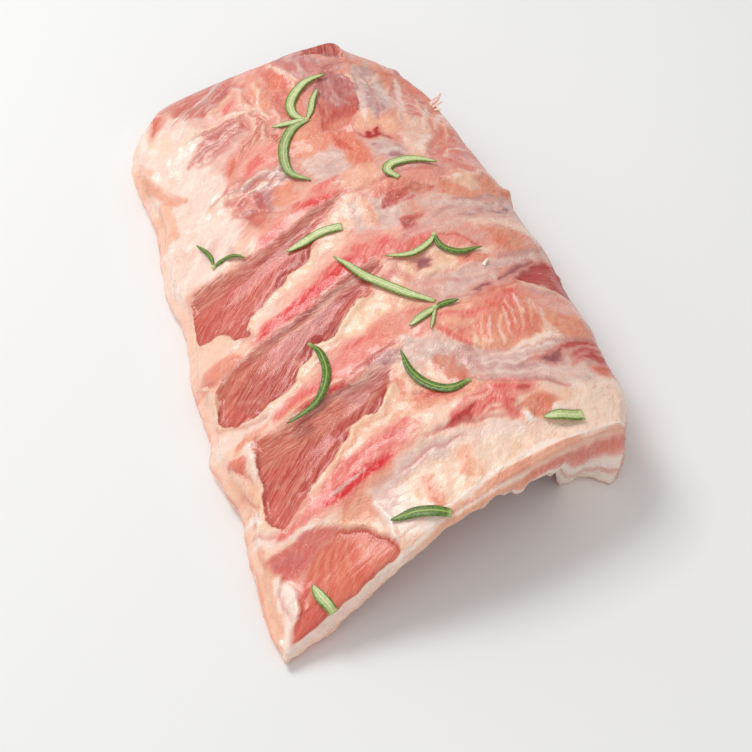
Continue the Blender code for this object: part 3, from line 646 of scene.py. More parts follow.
        (-62, -103), (-57, -106), (-56, -120), (-60, -130), (-66, -132), (-63, -120)]),
    ("blush", 0.7, 3, 45, [(-58, -105), (-51, -104), (-52, -112), (-56, -120), (-58, -116)]),
]

# Soft streaks laid over the fat, in order: tone, strength, softness, half width, centre line.
STREAKS = [
    ("orange fat", 0.7, 2.5, 1.6, [(-64.5, 88), (-62, 80), (-57, 72), (-51, 65)]),
    ("stripe lean", 0.7, 1.8, 1.5, [(-46, 79.5), (-37, 83), (-29, 86.5), (-22, 88.5)]),
    ("stripe lean", 0.6, 1.8, 1.3, [(-38, 88), (-31, 90.3), (-24, 92)]),
    ("mauve veil", 0.5, 1.4, 0.9, [(-38, 79.5), (-30, 82), (-22, 86)]),
    ("stripe lean", 0.75, 0.9, 0.5, [(-46, 80), (-37, 82.6), (-28, 86), (-23, 87.6)]),
    ("stripe lean", 0.7, 0.9, 0.45, [(-43.5, 82.6), (-35, 85.6), (-26, 88.4)]),
    ("stripe lean", 0.65, 0.9, 0.45, [(-40.5, 85.4), (-33, 87.8), (-24, 90.6)]),
    ("stripe lean", 0.65, 0.9, 0.45, [(-38, 80.4), (-30, 83), (-22, 86.4)]),
    ("purple", 0.5, 0.9, 0.45, [(-45, 81.2), (-37, 84), (-29, 87)]),
    ("purple", 0.45, 0.9, 0.4, [(-40, 87.4), (-32, 89.6), (-26, 91.4)]),
    ("pale veil", 0.65, 0.8, 0.35, [(-43, 81.4), (-34, 84.6), (-25, 87.8)]),
    ("pale veil", 0.6, 0.8, 0.35, [(-41.5, 84), (-33, 86.8), (-25, 89.6)]),
    ("pale veil", 0.5, 0.8, 0.3, [(-37, 82), (-30, 84.6), (-23, 87.4)]),
    ("stripe lean", 0.8, 1.6, 1.0, [(-44, 112), (-39, 116), (-34, 122)]),
    ("stripe lean", 0.85, 1.8, 1.3, [(-38.5, 112.5), (-33, 117), (-28, 122)]),
    ("stripe lean", 0.8, 1.8, 1.3, [(-33.5, 107), (-28, 112), (-22, 118), (-20, 122)]),
    ("stripe lean", 0.8, 1.8, 1.2, [(-35, 102), (-30, 105.5), (-25, 108.6), (-19.5, 111)]),
    ("mauve veil", 0.8, 1.8, 1.1, [(-31, 115), (-26, 119), (-23, 124)]),
    ("stripe lean", 0.75, 0.9, 0.5, [(-46, 107.5), (-38, 111), (-29, 117)]),
    ("stripe lean", 0.75, 0.9, 0.5, [(-41, 105.5), (-33, 110), (-23, 117)]),
    ("stripe lean", 0.7, 0.9, 0.5, [(-36.5, 103.5), (-29.5, 107.6), (-20, 113.6)]),
    ("purple", 0.4, 0.9, 0.4, [(-43.5, 106.5), (-35.5, 110.6), (-26, 117)]),
    ("pale veil", 0.65, 0.8, 0.35, [(-43, 108.4), (-35, 112.6), (-27, 119)]),
    ("pale veil", 0.6, 0.8, 0.35, [(-39, 104.6), (-31, 109), (-21.5, 115.6)]),
    ("pale veil", 0.5, 0.8, 0.3, [(-34.5, 103), (-27, 107), (-19.5, 111.4)]),
    ("mauve veil", 0.6, 2.0, 1.2, [(-36, 108), (-31, 111), (-27, 114)]),
    ("pale veil", 0.7, 1.2, 0.6, [(-36, 111), (-30, 115.5), (-25, 121)]),
    ("pale veil", 0.6, 1.2, 0.5, [(-33, 104.5), (-27, 110), (-21, 115)]),
    ("bright fat", 0.8, 2.5, 1.2, [(-58, 112), (-59, 104), (-55, 95)]),
    ("orange fat", 0.5, 2.5, 1.4, [(-47, 127), (-47, 118), (-49, 110)]),
    ("raw pink", 0.75, 1.8, 1.5, [(-27, 97), (-25, 99.5), (-23, 102)]),
    ("bright blood", 0.45, 1.6, 1.5, [(-27.5, 59), (-24.5, 62), (-22, 66)]),
    ("raw pink", 0.6, 2.5, 2.4, [(-28, 59), (-24, 63), (-22, 66)]),
    ("bright fat", 0.7, 1.4, 0.5, [(-3, 120), (-1.5, 111), (0.5, 105), (2.5, 101)]),
    ("stripe lean", 0.5, 2.0, 1.2, [(1.5, 122), (1.5, 114), (4, 106)]),
    ("stripe lean", 0.45, 2.5, 1.4, [(9, 116), (8, 108), (12, 104)]),
    ("white fat", 0.8, 2.2, 1.4, [(25, 100), (24.5, 90), (23, 80), (20.5, 72), (19.5, 66)]),
    ("cool veil", 0.9, 4, 6.0, [(25, 68), (28, 80), (29, 96), (31, 106)]),
    ("mauve veil", 0.6, 1.8, 1.0, [(24, 88), (27, 93), (31, 99)]),
    ("mauve veil", 0.7, 1.8, 1.1, [(28, 70), (31, 78), (35, 84), (38, 86)]),
    ("mauve veil", 0.5, 1.6, 0.9, [(22, 73), (25, 76), (28, 84), (32, 86)]),
    ("mauve veil", 0.45, 1.6, 0.8, [(25, 80), (29, 88), (33, 90)]),
    ("pale veil", 0.9, 2.2, 1.3, [(33, 78), (33, 86), (34, 97)]),
    ("pale veil", 0.7, 2.0, 0.9, [(24, 84), (26, 90), (27, 97)]),
    ("bright fat", 0.55, 2, 0.9, [(34, 64), (38, 78), (42, 92), (43, 100)]),
    ("bright fat", 0.6, 2, 0.9, [(41, 60), (46, 70), (51, 84)]),
    ("bright fat", 0.45, 2, 0.7, [(46, 60), (50, 68), (55, 80)]),
    ("white fat", 0.6, 2, 0.9, [(33, 39), (35, 47), (38, 53), (43, 55)]),
    ("bay rose", 0.5, 2, 1.0, [(38, 38), (44, 46), (50, 50)]),
    ("bay rose", 0.5, 2, 1.0, [(44, 36), (50, 43), (56, 48)]),
    ("bay rose", 0.45, 2, 1.2, [(40, 68), (42, 76), (47, 88)]),
    ("cool veil", 0.9, 4, 4.5, [(19, 55), (21, 50), (24, 44), (25, 37)]),
    ("purple", 0.75, 2, 1.4, [(22.5, 44), (24, 42), (26, 39.5)]),
    ("purple", 0.55, 1.4, 0.9, [(26, 49), (27.5, 46)]),
    ("purple", 0.5, 1.2, 0.7, [(17.8, 53), (18.6, 52)]),
    ("purple", 0.5, 1.2, 0.7, [(22.8, 52.5), (23.3, 51)]),
    ("pale veil", 0.7, 2, 1.2, [(17, 56), (20, 54.5), (24, 50), (28, 42)]),
    ("bay lean", 0.6, 1.4, 0.5, [(6.0, 63.5), (8.5, 57), (10.5, 52)]),
    ("stripe lean", 0.75, 1.8, 1.0, [(-27.5, 50), (-26, 45), (-26.5, 40)]),
    ("purple", 0.6, 1.4, 0.8, [(-27, 49), (-26, 44), (-27, 41)]),
    ("purple", 0.55, 1.0, 0.5, [(-24, 49), (-20.5, 52), (-17, 55), (-14, 55.5)]),
    ("purple", 0.5, 1.0, 0.45, [(-22, 46), (-18, 49.6), (-13.5, 51.5)]),
    ("stripe lean", 0.5, 1.0, 0.5, [(-30, 45), (-26, 48), (-23, 52.5)]),
    ("stripe lean", 0.55, 1.8, 1.0, [(-32, 38.5), (-28, 39.5), (-24, 38)]),
    ("stripe lean", 0.45, 1.8, 0.8, [(-36, 52), (-33, 54), (-31, 51.5)]),
    ("stripe lean", 0.4, 1.8, 0.8, [(-35, 46), (-32, 48), (-29, 46)]),
    ("bay tan", 0.6, 2, 1.2, [(-30, 30), (-29, 35), (-27, 39)]),
    ("pale veil", 0.7, 1.6, 0.8, [(-24, 51), (-20, 54), (-17, 57)]),
    ("pale veil", 0.6, 1.6, 0.7, [(-20, 49), (-17, 52), (-14, 54)]),
    ("mauve veil", 0.4, 2.5, 1.2, [(-42.5, 24), (-41.5, 30)]),
    ("bay pale", 0.6, 0.8, 0.3, [(12.5, 20.4), (17, 22.4), (24, 23.4)]),
    ("bay pale", 0.5, 0.8, 0.3, [(14, 22.6), (19, 24.4), (26, 24.6)]),
    ("window lean", 0.6, 0.8, 0.4, [(18, 22.6), (23, 24.2), (29, 23)]),
    ("window lean", 0.5, 0.8, 0.35, [(20, 24.6), (26, 25.6), (31, 24)]),
    ("pale veil", 0.55, 0.8, 0.35, [(18, 20.6), (23, 21.6), (28, 21.4)]),
    ("pale veil", 0.5, 0.8, 0.3, [(14.6, 18.6), (18.4, 19.8), (22, 19.6)]),
    ("stripe lean", 0.5, 0.9, 0.4, [(18, 11.4), (22, 12.6), (25.6, 12.2)]),
    ("pale veil", 0.5, 0.8, 0.3, [(17.6, 6.6), (20.4, 8.6), (23.6, 9.8)]),
    ("dark lean", 0.5, 0.9, 0.45, [(15.6, 6.8), (17, 9.2), (19, 10.8)]),
    ("mauve veil", 0.3, 3, 1.4, [(-50, 30), (-46, 36)]),
    ("raw pink", 0.85, 4, 3.4, [(-17, 30), (-8, 30.5), (-2, 31.5)]),
    ("bright blood", 0.65, 2.4, 1.8, [(-15, 30.5), (-9, 30), (-5, 30.3)]),
    ("bright blood", 0.5, 1.5, 0.9, [(-18.5, 33), (-14, 34.5)]),
    ("raw pink", 0.6, 1.8, 1.2, [(-9, 36), (-4, 37.5), (1, 40)]),
    ("raw pink", 0.7, 3, 2.4, [(-34, 22.5), (-28, 25), (-22, 26.5)]),
    ("bright blood", 0.55, 1.5, 1.0, [(-32, 23.5), (-27.5, 25.5), (-25, 27)]),
    ("old blood", 0.4, 1.2, 0.7, [(-31, 22.5), (-24, 23.5)]),
    ("raw pink", 0.8, 4, 3.0, [(-44, -16.5), (-28, -11.5), (-14, -4), (-6, 0)]),
    ("bright blood", 1.0, 1.5, 1.6, [(-36, -13.6), (-28, -11.8), (-20, -9.2), (-13, -6.2)]),
    ("bright blood", 0.9, 1.6, 1.2, [(-43, -16), (-37, -14.2), (-30, -12.4)]),
    ("bright blood", 0.9, 1.8, 1.2, [(-35, -12), (-27, -9.6), (-20, -6.8), (-14, -4.6)]),
    ("bright blood", 0.7, 1.6, 1.0, [(-32, -13.2), (-25, -11.2), (-18, -8.6), (-12, -6)]),
    # Painted highlight: a thin pale line along the blood-red stripe.
    ("bright fat", 0.3, 0.8, 0.35, [(-36, -10.2), (-30, -8), (-24, -5.6)]),
    ("bright blood", 0.75, 1.8, 1.3, [(-20, -8.5), (-12, -4), (-6, -1)]),
    ("raw pink", 0.5, 1.8, 1.1, [(-28, -8.5), (-18, -3.5), (-10, 1)]),
    ("raw pink", 0.4, 3, 2.2, [(3, -1), (8, 2), (12, -2)]),
    ("bright blood", 0.35, 1.5, 1.0, [(5, -2.5), (7, 0.5), (8, 4)]),
    ("bright blood", 0.5, 1.6, 1.1, [(13, -4), (17, -2.2), (22, -1.8)]),
    ("raw pink", 0.5, 2, 1.7, [(10, -4), (16, -1.5), (23, -0.5)]),
    ("raw pink", 0.6, 1.0, 0.4, [(26.5, -0.8), (31, -3), (34, -5.2), (37.5, -8.6)]),
    ("orange lean", 0.5, 2.2, 1.8, [(45, -8), (50, -7)]),
    ("mauve veil", 0.85, 1.8, 1.1, [(36, 6), (42, 8), (48, 11), (54, 15), (61, 20)]),
    ("purple", 0.75, 1.5, 1.0, [(49.5, 9.3), (55, 10.6), (61, 16)]),
    ("mauve veil", 0.6, 1.8, 0.9, [(38, 15.6), (47, 16.5), (55, 19.5)]),
    ("mauve veil", 0.5, 2.2, 1.0, [(26, 8), (34, 11), (40, 13)]),
    ("pale veil", 0.7, 2.0, 1.2, [(27, 15), (38, 13), (50, 14.5)]),
    ("orange fat", 0.8, 1.4, 0.8, [(37, 16.5), (42, 19.5), (50, 20)]),
    ("mauve veil", 0.6, 2.0, 1.3, [(40, -26), (46, -23.5), (51, -21)]),
    ("pale veil", 0.7, 2.2, 1.4, [(18, -19), (32, -20), (46, -18), (60, -13)]),
    ("mauve veil", 0.5, 2.2, 1.1, [(44, -15.5), (52, -13), (62, -10)]),
    ("mauve veil", 0.45, 2.2, 1.2, [(22, -21), (30, -24), (38, -24.5)]),
    ("pale veil", 0.6, 2.0, 1.0, [(22, -26), (32, -26), (40, -24.5)]),
    ("raw pink", 0.4, 2.5, 1.8, [(5, -30), (9, -30)]),
    ("orange lean", 0.8, 1.8, 1.3, [(30.5, -37.4), (33.5, -37)]),
    ("bright blood", 0.35, 2.0, 1.6, [(38, -34), (43, -32.5)]),
    ("raw pink", 0.75, 1.6, 0.9, [(13, -42), (15.5, -45.5), (17.5, -47.5), (20.5, -50.5)]),
    ("raw pink", 0.6, 1.8, 0.8, [(14, -36), (22, -38), (30, -39.5)]),
    ("bright blood", 0.3, 1.6, 1.0, [(22, -40.5), (27, -40)]),
    ("yellow fat", 0.5, 1.0, 0.22, [(25, -54), (26, -48), (27, -44)]),
    ("yellow fat", 0.5, 1.0, 0.22, [(22.5, -51), (23, -47), (24.5, -42)]),
    ("bright fat", 0.45, 0.9, 0.2, [(28, -52), (28.5, -47), (30.5, -42)]),
    ("yellow fat", 0.5, 1.0, 0.22, [(31, -54), (31.5, -48), (33.5, -43)]),
    ("bright fat", 0.4, 0.9, 0.2, [(34.5, -52), (34.5, -46), (35.5, -40)]),
    ("bright fat", 0.5, 0.9, 0.22, [(37.5, -47), (38.5, -42), (38, -36)]),
    ("yellow fat", 0.5, 1.0, 0.22, [(39.5, -50), (40.5, -44), (42.5, -38)]),
    ("bright fat", 0.5, 0.9, 0.22, [(41.5, -45), (42, -39.5), (41, -34.5)]),
    ("yellow fat", 0.5, 1.0, 0.25, [(43, -49), (45, -43), (46, -37)]),
    ("bright fat", 0.4, 0.9, 0.2, [(46.5, -45), (47, -40), (46.5, -35.5)]),
    ("orange lean", 0.5, 0.9, 0.3, [(36, -50), (36.5, -43), (37, -36)]),
    ("raw pink", 0.45, 0.9, 0.3, [(39.8, -41), (40.2, -36), (39.5, -32.5)]),
    ("orange lean", 0.4, 0.9, 0.3, [(26, -51), (27.5, -45), (29, -40)]),
    ("orange lean", 0.4, 0.9, 0.3, [(42.5, -49), (43.6, -43), (44, -37)]),
    ("bright fat", 0.45, 1.4, 0.5, [(49.5, -42), (48, -47), (50, -52), (53, -55)]),
    ("yellow fat", 0.7, 1.4, 0.5, [(22, -46), (24, -51)]),
    ("bright fat", 0.6, 1.8, 0.9, [(33, -57.5), (38, -56), (45, -54), (50, -53)]),
    ("mauve veil", 0.55, 2.0, 0.9, [(17, -56), (28, -61), (40, -63), (48, -60)]),
    ("mauve veil", 0.45, 2.0, 0.9, [(18, -60), (30, -65), (42, -67)]),
    ("mauve veil", 0.45, 2.0, 1.0, [(22, -66), (34, -70), (44, -75)]),
    ("pale veil", 0.8, 1.8, 0.9, [(20, -57), (32, -60), (44, -59), (54, -56)]),
    ("pale veil", 0.7, 1.8, 0.9, [(18, -63), (30, -67), (44, -65), (54, -62)]),
    ("raw pink", 0.5, 1.6, 0.8, [(52, -66), (56, -63), (60, -60)]),
    ("purple", 0.4, 1.8, 0.9, [(52, -57.5), (58, -54.5), (64, -54)]),
    ("raw pink", 0.4, 0.9, 0.4, [(42, -62.6), (47, -60.6), (53, -58.6)]),
    ("white fat", 0.6, 0.8, 0.3, [(22, -60), (32, -62.4), (44, -61.4)]),
    ("white fat", 0.55, 0.8, 0.3, [(26, -57.6), (36, -59.4), (48, -57.4)]),
    ("white fat", 0.5, 0.8, 0.3, [(24, -65), (36, -68.4), (50, -66.4)]),
    ("mauve veil", 0.5, 0.8, 0.35, [(28, -64.4), (38, -65.6), (50, -64.6)]),
    ("old blood", 0.85, 1.6, 1.3, [(0, -66.5), (3, -66.2), (6, -67.5)]),
    ("orange lean", 0.6, 3, 2.4, [(-2, -65), (4, -66), (10, -68.5)]),
    ("pink rib", 0.55, 3, 2.2, [(5, -78), (14, -73.5), (26, -72.5), (34, -73.5)]),
    ("bright blood", 0.6, 1.2, 0.7, [(3.5, -79), (10, -76.2), (16, -74.2), (22, -73.4)]),
    ("raw pink", 0.55, 1.3, 0.6, [(12, -77.2), (18, -76), (26, -75.5)]),
    ("raw pink", 0.5, 1.3, 0.6, [(14, -79.6), (20, -77.8), (27, -77)]),
    ("bright blood", 0.4, 1.2, 0.6, [(15, -72.4), (22, -71), (28, -71.6)]),
    ("bright blood", 0.5, 1.2, 0.6, [(1, -81), (4, -79.4), (8, -78.6)]),
    ("old blood", 0.9, 1.2, 0.9, [(6.5, -78.6), (9, -77.4), (11.5, -78.8)]),
    ("bright blood", 0.4, 1.5, 0.8, [(5, -77.5), (9, -76.5), (12, -77.8)]),
    ("blush", 0.6, 0.9, 0.4, [(10, -79.6), (14, -77.6), (19, -78.4)]),
    ("cream fat", 0.6, 0.9, 0.35, [(16, -79), (18.6, -77), (22, -77.8)]),
    ("cream fat", 0.55, 0.9, 0.35, [(12.6, -73), (17, -73.6), (20, -71.6)]),
    ("blush", 0.6, 0.9, 0.4, [(22, -75.6), (27, -74.4), (31, -75.4)]),
    ("cream fat", 0.5, 0.9, 0.35, [(26, -79.6), (28, -77.2), (31.4, -77)]),
    ("old blood", 0.7, 0.8, 0.3, [(3, -78.8), (7, -77.6), (11, -76.2), (15, -74)]),
    ("clot", 0.65, 0.8, 0.3, [(8, -77.6), (10, -75.6), (13.5, -74.8)]),
    ("clot", 0.6, 0.8, 0.35, [(21, -72.6), (24, -74), (24.6, -77), (23.4, -80)]),
    ("clot", 0.5, 0.8, 0.3, [(24.4, -76), (26.6, -78), (27.2, -80.4)]),
    ("bright blood", 0.5, 0.8, 0.35, [(13, -78.6), (18, -75.8), (22, -75.4)]),
    ("clot", 0.55, 0.8, 0.35, [(1, -67.2), (3.6, -66.6), (6.2, -67.8)]),
    ("old blood", 0.5, 0.8, 0.3, [(-3.2, -62), (-1.2, -63.6), (0.4, -63.2)]),
    ("bright blood", 0.35, 1.6, 0.9, [(19.5, -71), (26, -72.6), (34, -74)]),
    ("old blood", 0.6, 1.4, 1.0, [(29, -73), (33, -74)]),
    ("bright blood", 0.4, 1.3, 0.8, [(22.5, -79), (25, -81.5), (26.5, -83)]),
    ("raw pink", 0.45, 2.0, 1.1, [(24, -73), (24, -78), (25.5, -83)]),
    ("old blood", 0.5, 0.9, 0.35, [(-2, -80.6), (4, -79.6), (8, -79.2), (12, -79.2)]),
    ("orange lean", 0.5, 2.2, 1.6, [(33, -79), (39, -81.5)]),
    ("bright fat", 0.95, 1.2, 1.3, [(28.5, -82.5), (29.5, -84.5), (32, -85.5)]),
    ("bright fat", 0.95, 1.2, 1.2, [(36.8, -83.5), (39, -82.6), (42.5, -84.5)]),
    ("orange lean", 0.6, 2.0, 1.0, [(-7, -54), (-6.3, -57.5), (-5.6, -61)]),
    ("mauve veil", 0.85, 3.2, 2.6, [(-14, -48.8), (-8, -46.5), (-3, -46)]),
    ("purple", 0.4, 2.2, 1.4, [(-11, -48.5), (-6, -48)]),
    ("raw pink", 0.7, 2.5, 1.6, [(-18, -36), (-13, -34.3), (-9, -35.5)]),
    ("stripe lean", 0.5, 1.2, 0.5, [(-24, -49), (-16, -46), (-10, -44), (-3, -42)]),
    ("raw pink", 0.7, 2.6, 2.2, [(-42, -48), (-37, -46.5), (-32, -47.5)]),
    ("bright blood", 0.95, 1.6, 1.5, [(-43, -51), (-38, -50), (-32, -50.3)]),
    ("bright blood", 0.9, 1.6, 1.3, [(-31, -51), (-27, -50.3), (-23.5, -49.5)]),
    ("raw pink", 0.8, 3.2, 2.4, [(-46, -50.5), (-34, -49), (-22, -47.5)]),
    ("bright blood", 0.8, 1.6, 1.3, [(-42, -51), (-36, -50.4), (-30, -50.6), (-24, -49.6)]),
    ("orange fat", 0.75, 2.5, 1.6, [(-34, -76), (-30, -72.5), (-26, -68.5)]),
    ("raw pink", 0.45, 1.3, 0.6, [(-35, -78), (-28, -77), (-22, -76)]),
    ("raw pink", 0.5, 1.3, 0.6, [(-39, -82), (-32, -80), (-26, -78.5)]),
    ("raw pink", 0.6, 2.0, 1.5, [(-20, -76), (-14, -75), (-8, -72)]),
    ("old blood", 0.5, 1.4, 0.9, [(-15.5, -76), (-10, -75.3)]),
    ("raw pink", 0.55, 5, 4.6, [(-44, -87), (-30, -82), (-12, -77)]),
    ("raw pink", 0.65, 1.8, 1.7, [(-42, -88), (-30, -85), (-17, -81.5)]),
    ("bright blood", 1.0, 1.3, 1.2, [(-41, -88.4), (-36, -87.4), (-29, -85.2)]),
    ("bright blood", 1.0, 1.3, 1.2, [(-33, -86.6), (-27, -84.6), (-22, -83.2), (-17, -82)]),
    ("bright blood", 0.8, 1.1, 0.7, [(-36, -84.8), (-30, -83), (-24, -81.4)]),
    ("pale veil", 0.7, 1.0, 0.4, [(-38, -86.4), (-32, -84.6), (-25, -82.6)]),
    ("pink rib", 0.8, 2.0, 1.2, [(-57, -91), (-50, -90), (-44, -87.5)]),
    ("pink rib", 0.6, 2.0, 1.0, [(-48, -86), (-42, -82.5)]),
    ("old blood", 0.45, 1.0, 0.5, [(-63.8, -80), (-62, -82.5)]),
    ("bright fat", 0.95, 1.3, 1.2, [(-66.5, -80.5), (-64.5, -77.8), (-62, -79), (-60.5, -83)]),
    ("yellow fat", 0.9, 1.6, 1.1, [(-58, -24.5), (-62.5, -28), (-63.5, -32), (-62, -35.5)]),
    ("bright fat", 0.6, 2.2, 1.2, [(-63.5, -33), (-64.5, -37)]),
    ("yellow fat", 0.75, 1.0, 0.45, [(-46, -19.2), (-36, -19.4), (-28, -17.4)]),
    ("bright fat", 0.95, 1.4, 2.0, [(-66, -125), (-63, -128.5), (-60.5, -130)]),
    ("raw pink", 0.55, 1.4, 0.8, [(-57.5, -108.5), (-55, -110.5), (-56, -114)]),
    ("bright fat", 0.85, 2.0, 1.3, [(-20, -113), (-2, -107), (14, -99), (28, -95.5), (44, -94.5), (60, -90)]),
    ("old blood", 0.5, 1.0, 0.4, [
        (-40, -97), (-36, -98.2), (-31, -100.4), (-28, -103.8), (-25.5, -107), (-24, -111)]),
]

# Tints laid over the lean: tone, strength, softness, the way its edge is drawn out, closed outline.
LEAN_WASHES = [
    ("bay brown", 0.85, 4, 12, [
        (-64, 12), (-62, 22), (-30, 24), (0, 32), (0, 24), (-18, 17), (-30, 15), (-46, 13)]),
    ("bay lean", 0.6, 4, 18, [(-62, 10), (-20, 14), (-16, 10), (-28, 4), (-40, 0), (-58, 2)]),
    # Painted shade: bay deep along the first bay's rim, beside the fat lip.
    ("bay deep", 0.85, 5, 25, [(-13, 15), (-22, 15.5), (-30, 9), (-32, 2), (-22, 4), (-16, 10)]),
    ("bay rose", 0.6, 4, 50, [(-64, 2), (-52, 8), (-44, 0), (-43, -14), (-52, -8), (-62, -4)]),
    ("stripe lean", 0.5, 4, 15, [
        (-48, -20), (-30, -13), (-8, -5), (2, -3), (2, -9), (-8, -14), (-30, -20), (-46, -25)]),
    ("mauve veil", 0.2, 4, 15, [
        (-48, -20), (-30, -13), (-8, -5), (2, -3), (2, -9), (-8, -14), (-30, -20), (-46, -25)]),
    ("bay tan", 0.75, 4, 25, [(-64, -30), (-56, -22), (-44, -22), (-38, -28), (-50, -34), (-64, -36)]),
    ("bay rose", 0.8, 4, 40, [(-66, -34), (-50, -33), (-44, -38), (-46, -46), (-66, -46)]),
    ("bay lean", 0.8, 4, 40, [(-50, -26), (-36, -26), (-32, -34), (-40, -43), (-50, -42)]),
    # Painted shade: bay deep along the second bay's rim, beside the fat lip.
    ("bay deep", 0.75, 4, 30, [(-12, -17), (-26, -18), (-34, -25), (-30, -34), (-22, -32), (-12, -22)]),
    ("bay deep", 0.6, 4, 30, [
        (-50, -26), (-30, -20), (-20, -22), (-30, -34), (-42, -42), (-54, -42), (-58, -34)]),
    ("bay deep", 0.5, 4, 25, [(-34, -20), (-18, -14), (-4, -8), (-4, -13), (-12, -18), (-24, -24)]),
    ("bay pale", 0.4, 4, 20, [(-26, -22), (-16, -18), (-2, -12), (-2, -17), (-14, -20)]),
    ("bay tan", 0.8, 4, 5, [
        (-58, -54), (-36, -50), (-10, -48), (-8, -56), (-22, -60), (-36, -65), (-56, -66)]),
    ("mauve veil", 0.45, 3, 8, [(-30, -50), (-6, -47), (-8, -55), (-24, -56)]),
    ("window lean", 0.6, 3, 10, [(-43, -57), (-37, -56.5), (-36, -60.5), (-42, -61.5)]),
    ("bay rose", 0.75, 4, 52, [(-58, -66), (-40, -63), (-28, -64), (-36, -76), (-52, -92), (-60, -84)]),
    ("bay lean", 0.7, 4, 48, [(-54, -70), (-36, -68), (-28, -70), (-40, -80), (-50, -84)]),
    # Painted shade: bay deep along the third bay's right rim, beside the fat lip.
    ("bay deep", 0.65, 4, 40, [(-10, -54), (-20, -56), (-24, -62), (-16, -66), (-11, -60)]),
    # Painted shade: bay deep along the third bay's lower rim, beside the fat lip.
    ("bay deep", 0.35, 4, 45, [(-24, -66), (-34, -70), (-48, -84), (-52, -90), (-40, -80)]),
    ("bay deep", 0.35, 4, 45, [(-20, -56), (-32, -60), (-48, -66), (-50, -80), (-38, -74), (-22, -64)]),
    ("blush", 0.8, 2, 20, [(-25, -63.5), (-16, -64), (-15, -67), (-24, -67)]),
    ("mauve veil", 0.75, 18, 84, [(2, 84), (4, 106), (26, 106), (26, 88), (14, 82)]),
    ("bay deep", 0.45, 4, 84, [(6, 70), (7, 86), (11, 90), (12, 70)]),
    ("bay deep", 0.35, 4, 84, [(15, 74), (17, 92), (21, 92), (19, 76)]),
    ("bay rose", 0.5, 4, 45, [(-62, -136), (-56, -112), (-50, -108), (-48, -120), (-40, -136)]),
    ("salmon", 0.5, 4, 45, [(-34, -104), (-25, -107), (-22, -118), (-32, -118)]),
    ("bay deep", 0.55, 4, 25, [(57, -25), (66, -22), (66, -31), (60, -30)]),
    ("dark lean", 0.45, 2.5, 20, [(12, 19), (19, 22), (18, 24), (13, 22.5)]),
]

# Soft streaks laid over the lean, as over the fat.
LEAN_STREAKS = [
    ("warm fat", 0.28, 1.0, 0.35, [(-40, -99), (-46, -108), (-51, -120)]),
    ("warm fat", 0.22, 1.0, 0.3, [(-39, -99), (-43, -110), (-46, -122)]),
    ("warm fat", 0.25, 1.0, 0.3, [(-37, -100), (-38, -110), (-39, -121)]),
    ("warm fat", 0.22, 1.0, 0.3, [(-35, -101), (-32, -109), (-31, -117)]),
    ("warm fat", 0.3, 1.2, 0.5, [(-44, -101), (-50, -108), (-55, -116)]),
    ("bay lean", 0.3, 1.6, 0.8, [(-41, -102), (-45, -112), (-49, -124)]),
    ("bay lean", 0.25, 1.6, 0.8, [(-36, -103), (-36, -112), (-36, -120)]),
    ("bay pale", 0.6, 1.6, 0.8, [(-60, 12), (-48, 13.5), (-34, 16)]),
    ("bay deep", 0.5, 1.2, 0.7, [(-58, 15), (-46, 15.5), (-30, 18.5), (-14, 23)]),
    ("warm fat", 0.4, 1.2, 0.5, [(-58, 17), (-46, 17), (-32, 20)]),
    ("warm fat", 0.55, 1.2, 0.6, [(-48, -19.8), (-38, -19.6), (-28, -17.4), (-14, -12.4)]),
    ("purple", 0.4, 1.4, 0.8, [(-40, -18.4), (-26, -14.4), (-10, -8.8)]),
    ("pale veil", 0.5, 1.2, 0.6, [(-24, -15), (-12, -10.5), (-2, -7.5)]),
    ("bay deep", 0.5, 1.4, 0.8, [(-22, -18), (-13, -14), (-3, -11)]),
    ("bay tan", 0.6, 1.8, 1.2, [(-56, -27), (-46, -25), (-38, -27)]),
    ("warm fat", 0.35, 1.2, 0.5, [(-56, -33), (-50, -37), (-47, -42)]),
    ("warm fat", 0.4, 1.0, 0.5, [(-36, -27), (-33, -31), (-31.5, -33)]),
    ("warm fat", 0.45, 1.2, 0.6, [(-50, -56), (-38, -54.4), (-24, -53)]),
    ("mauve veil", 0.5, 1.4, 0.8, [(-44, -54.6), (-30, -52.4), (-14, -50)]),
    ("dark lean", 0.3, 1.4, 0.8, [(-43, -58.6), (-39, -58.2), (-35, -59.4)]),
    ("warm fat", 0.4, 1.0, 0.5, [(-14, -56), (-18, -60), (-21, -64)]),
    ("warm fat", 0.35, 1.0, 0.5, [(-40, -66), (-44, -73), (-50, -80)]),
    ("mauve veil", 0.5, 2.0, 1.4, [(8, 100), (9, 93), (12, 87)]),
    ("pale veil", 0.35, 1.2, 0.6, [(14, 98), (15, 88), (18, 80)]),
    ("salmon", 0.6, 1.8, 1.0, [(6, 72), (9, 80), (9, 90)]),
    ("salmon", 0.8, 3.5, 5.0, [(6, 60), (9, 66), (14, 71)]),
    ("orange fat", 0.5, 2.5, 2.0, [(5, 64), (9, 67), (13, 70)]),
]
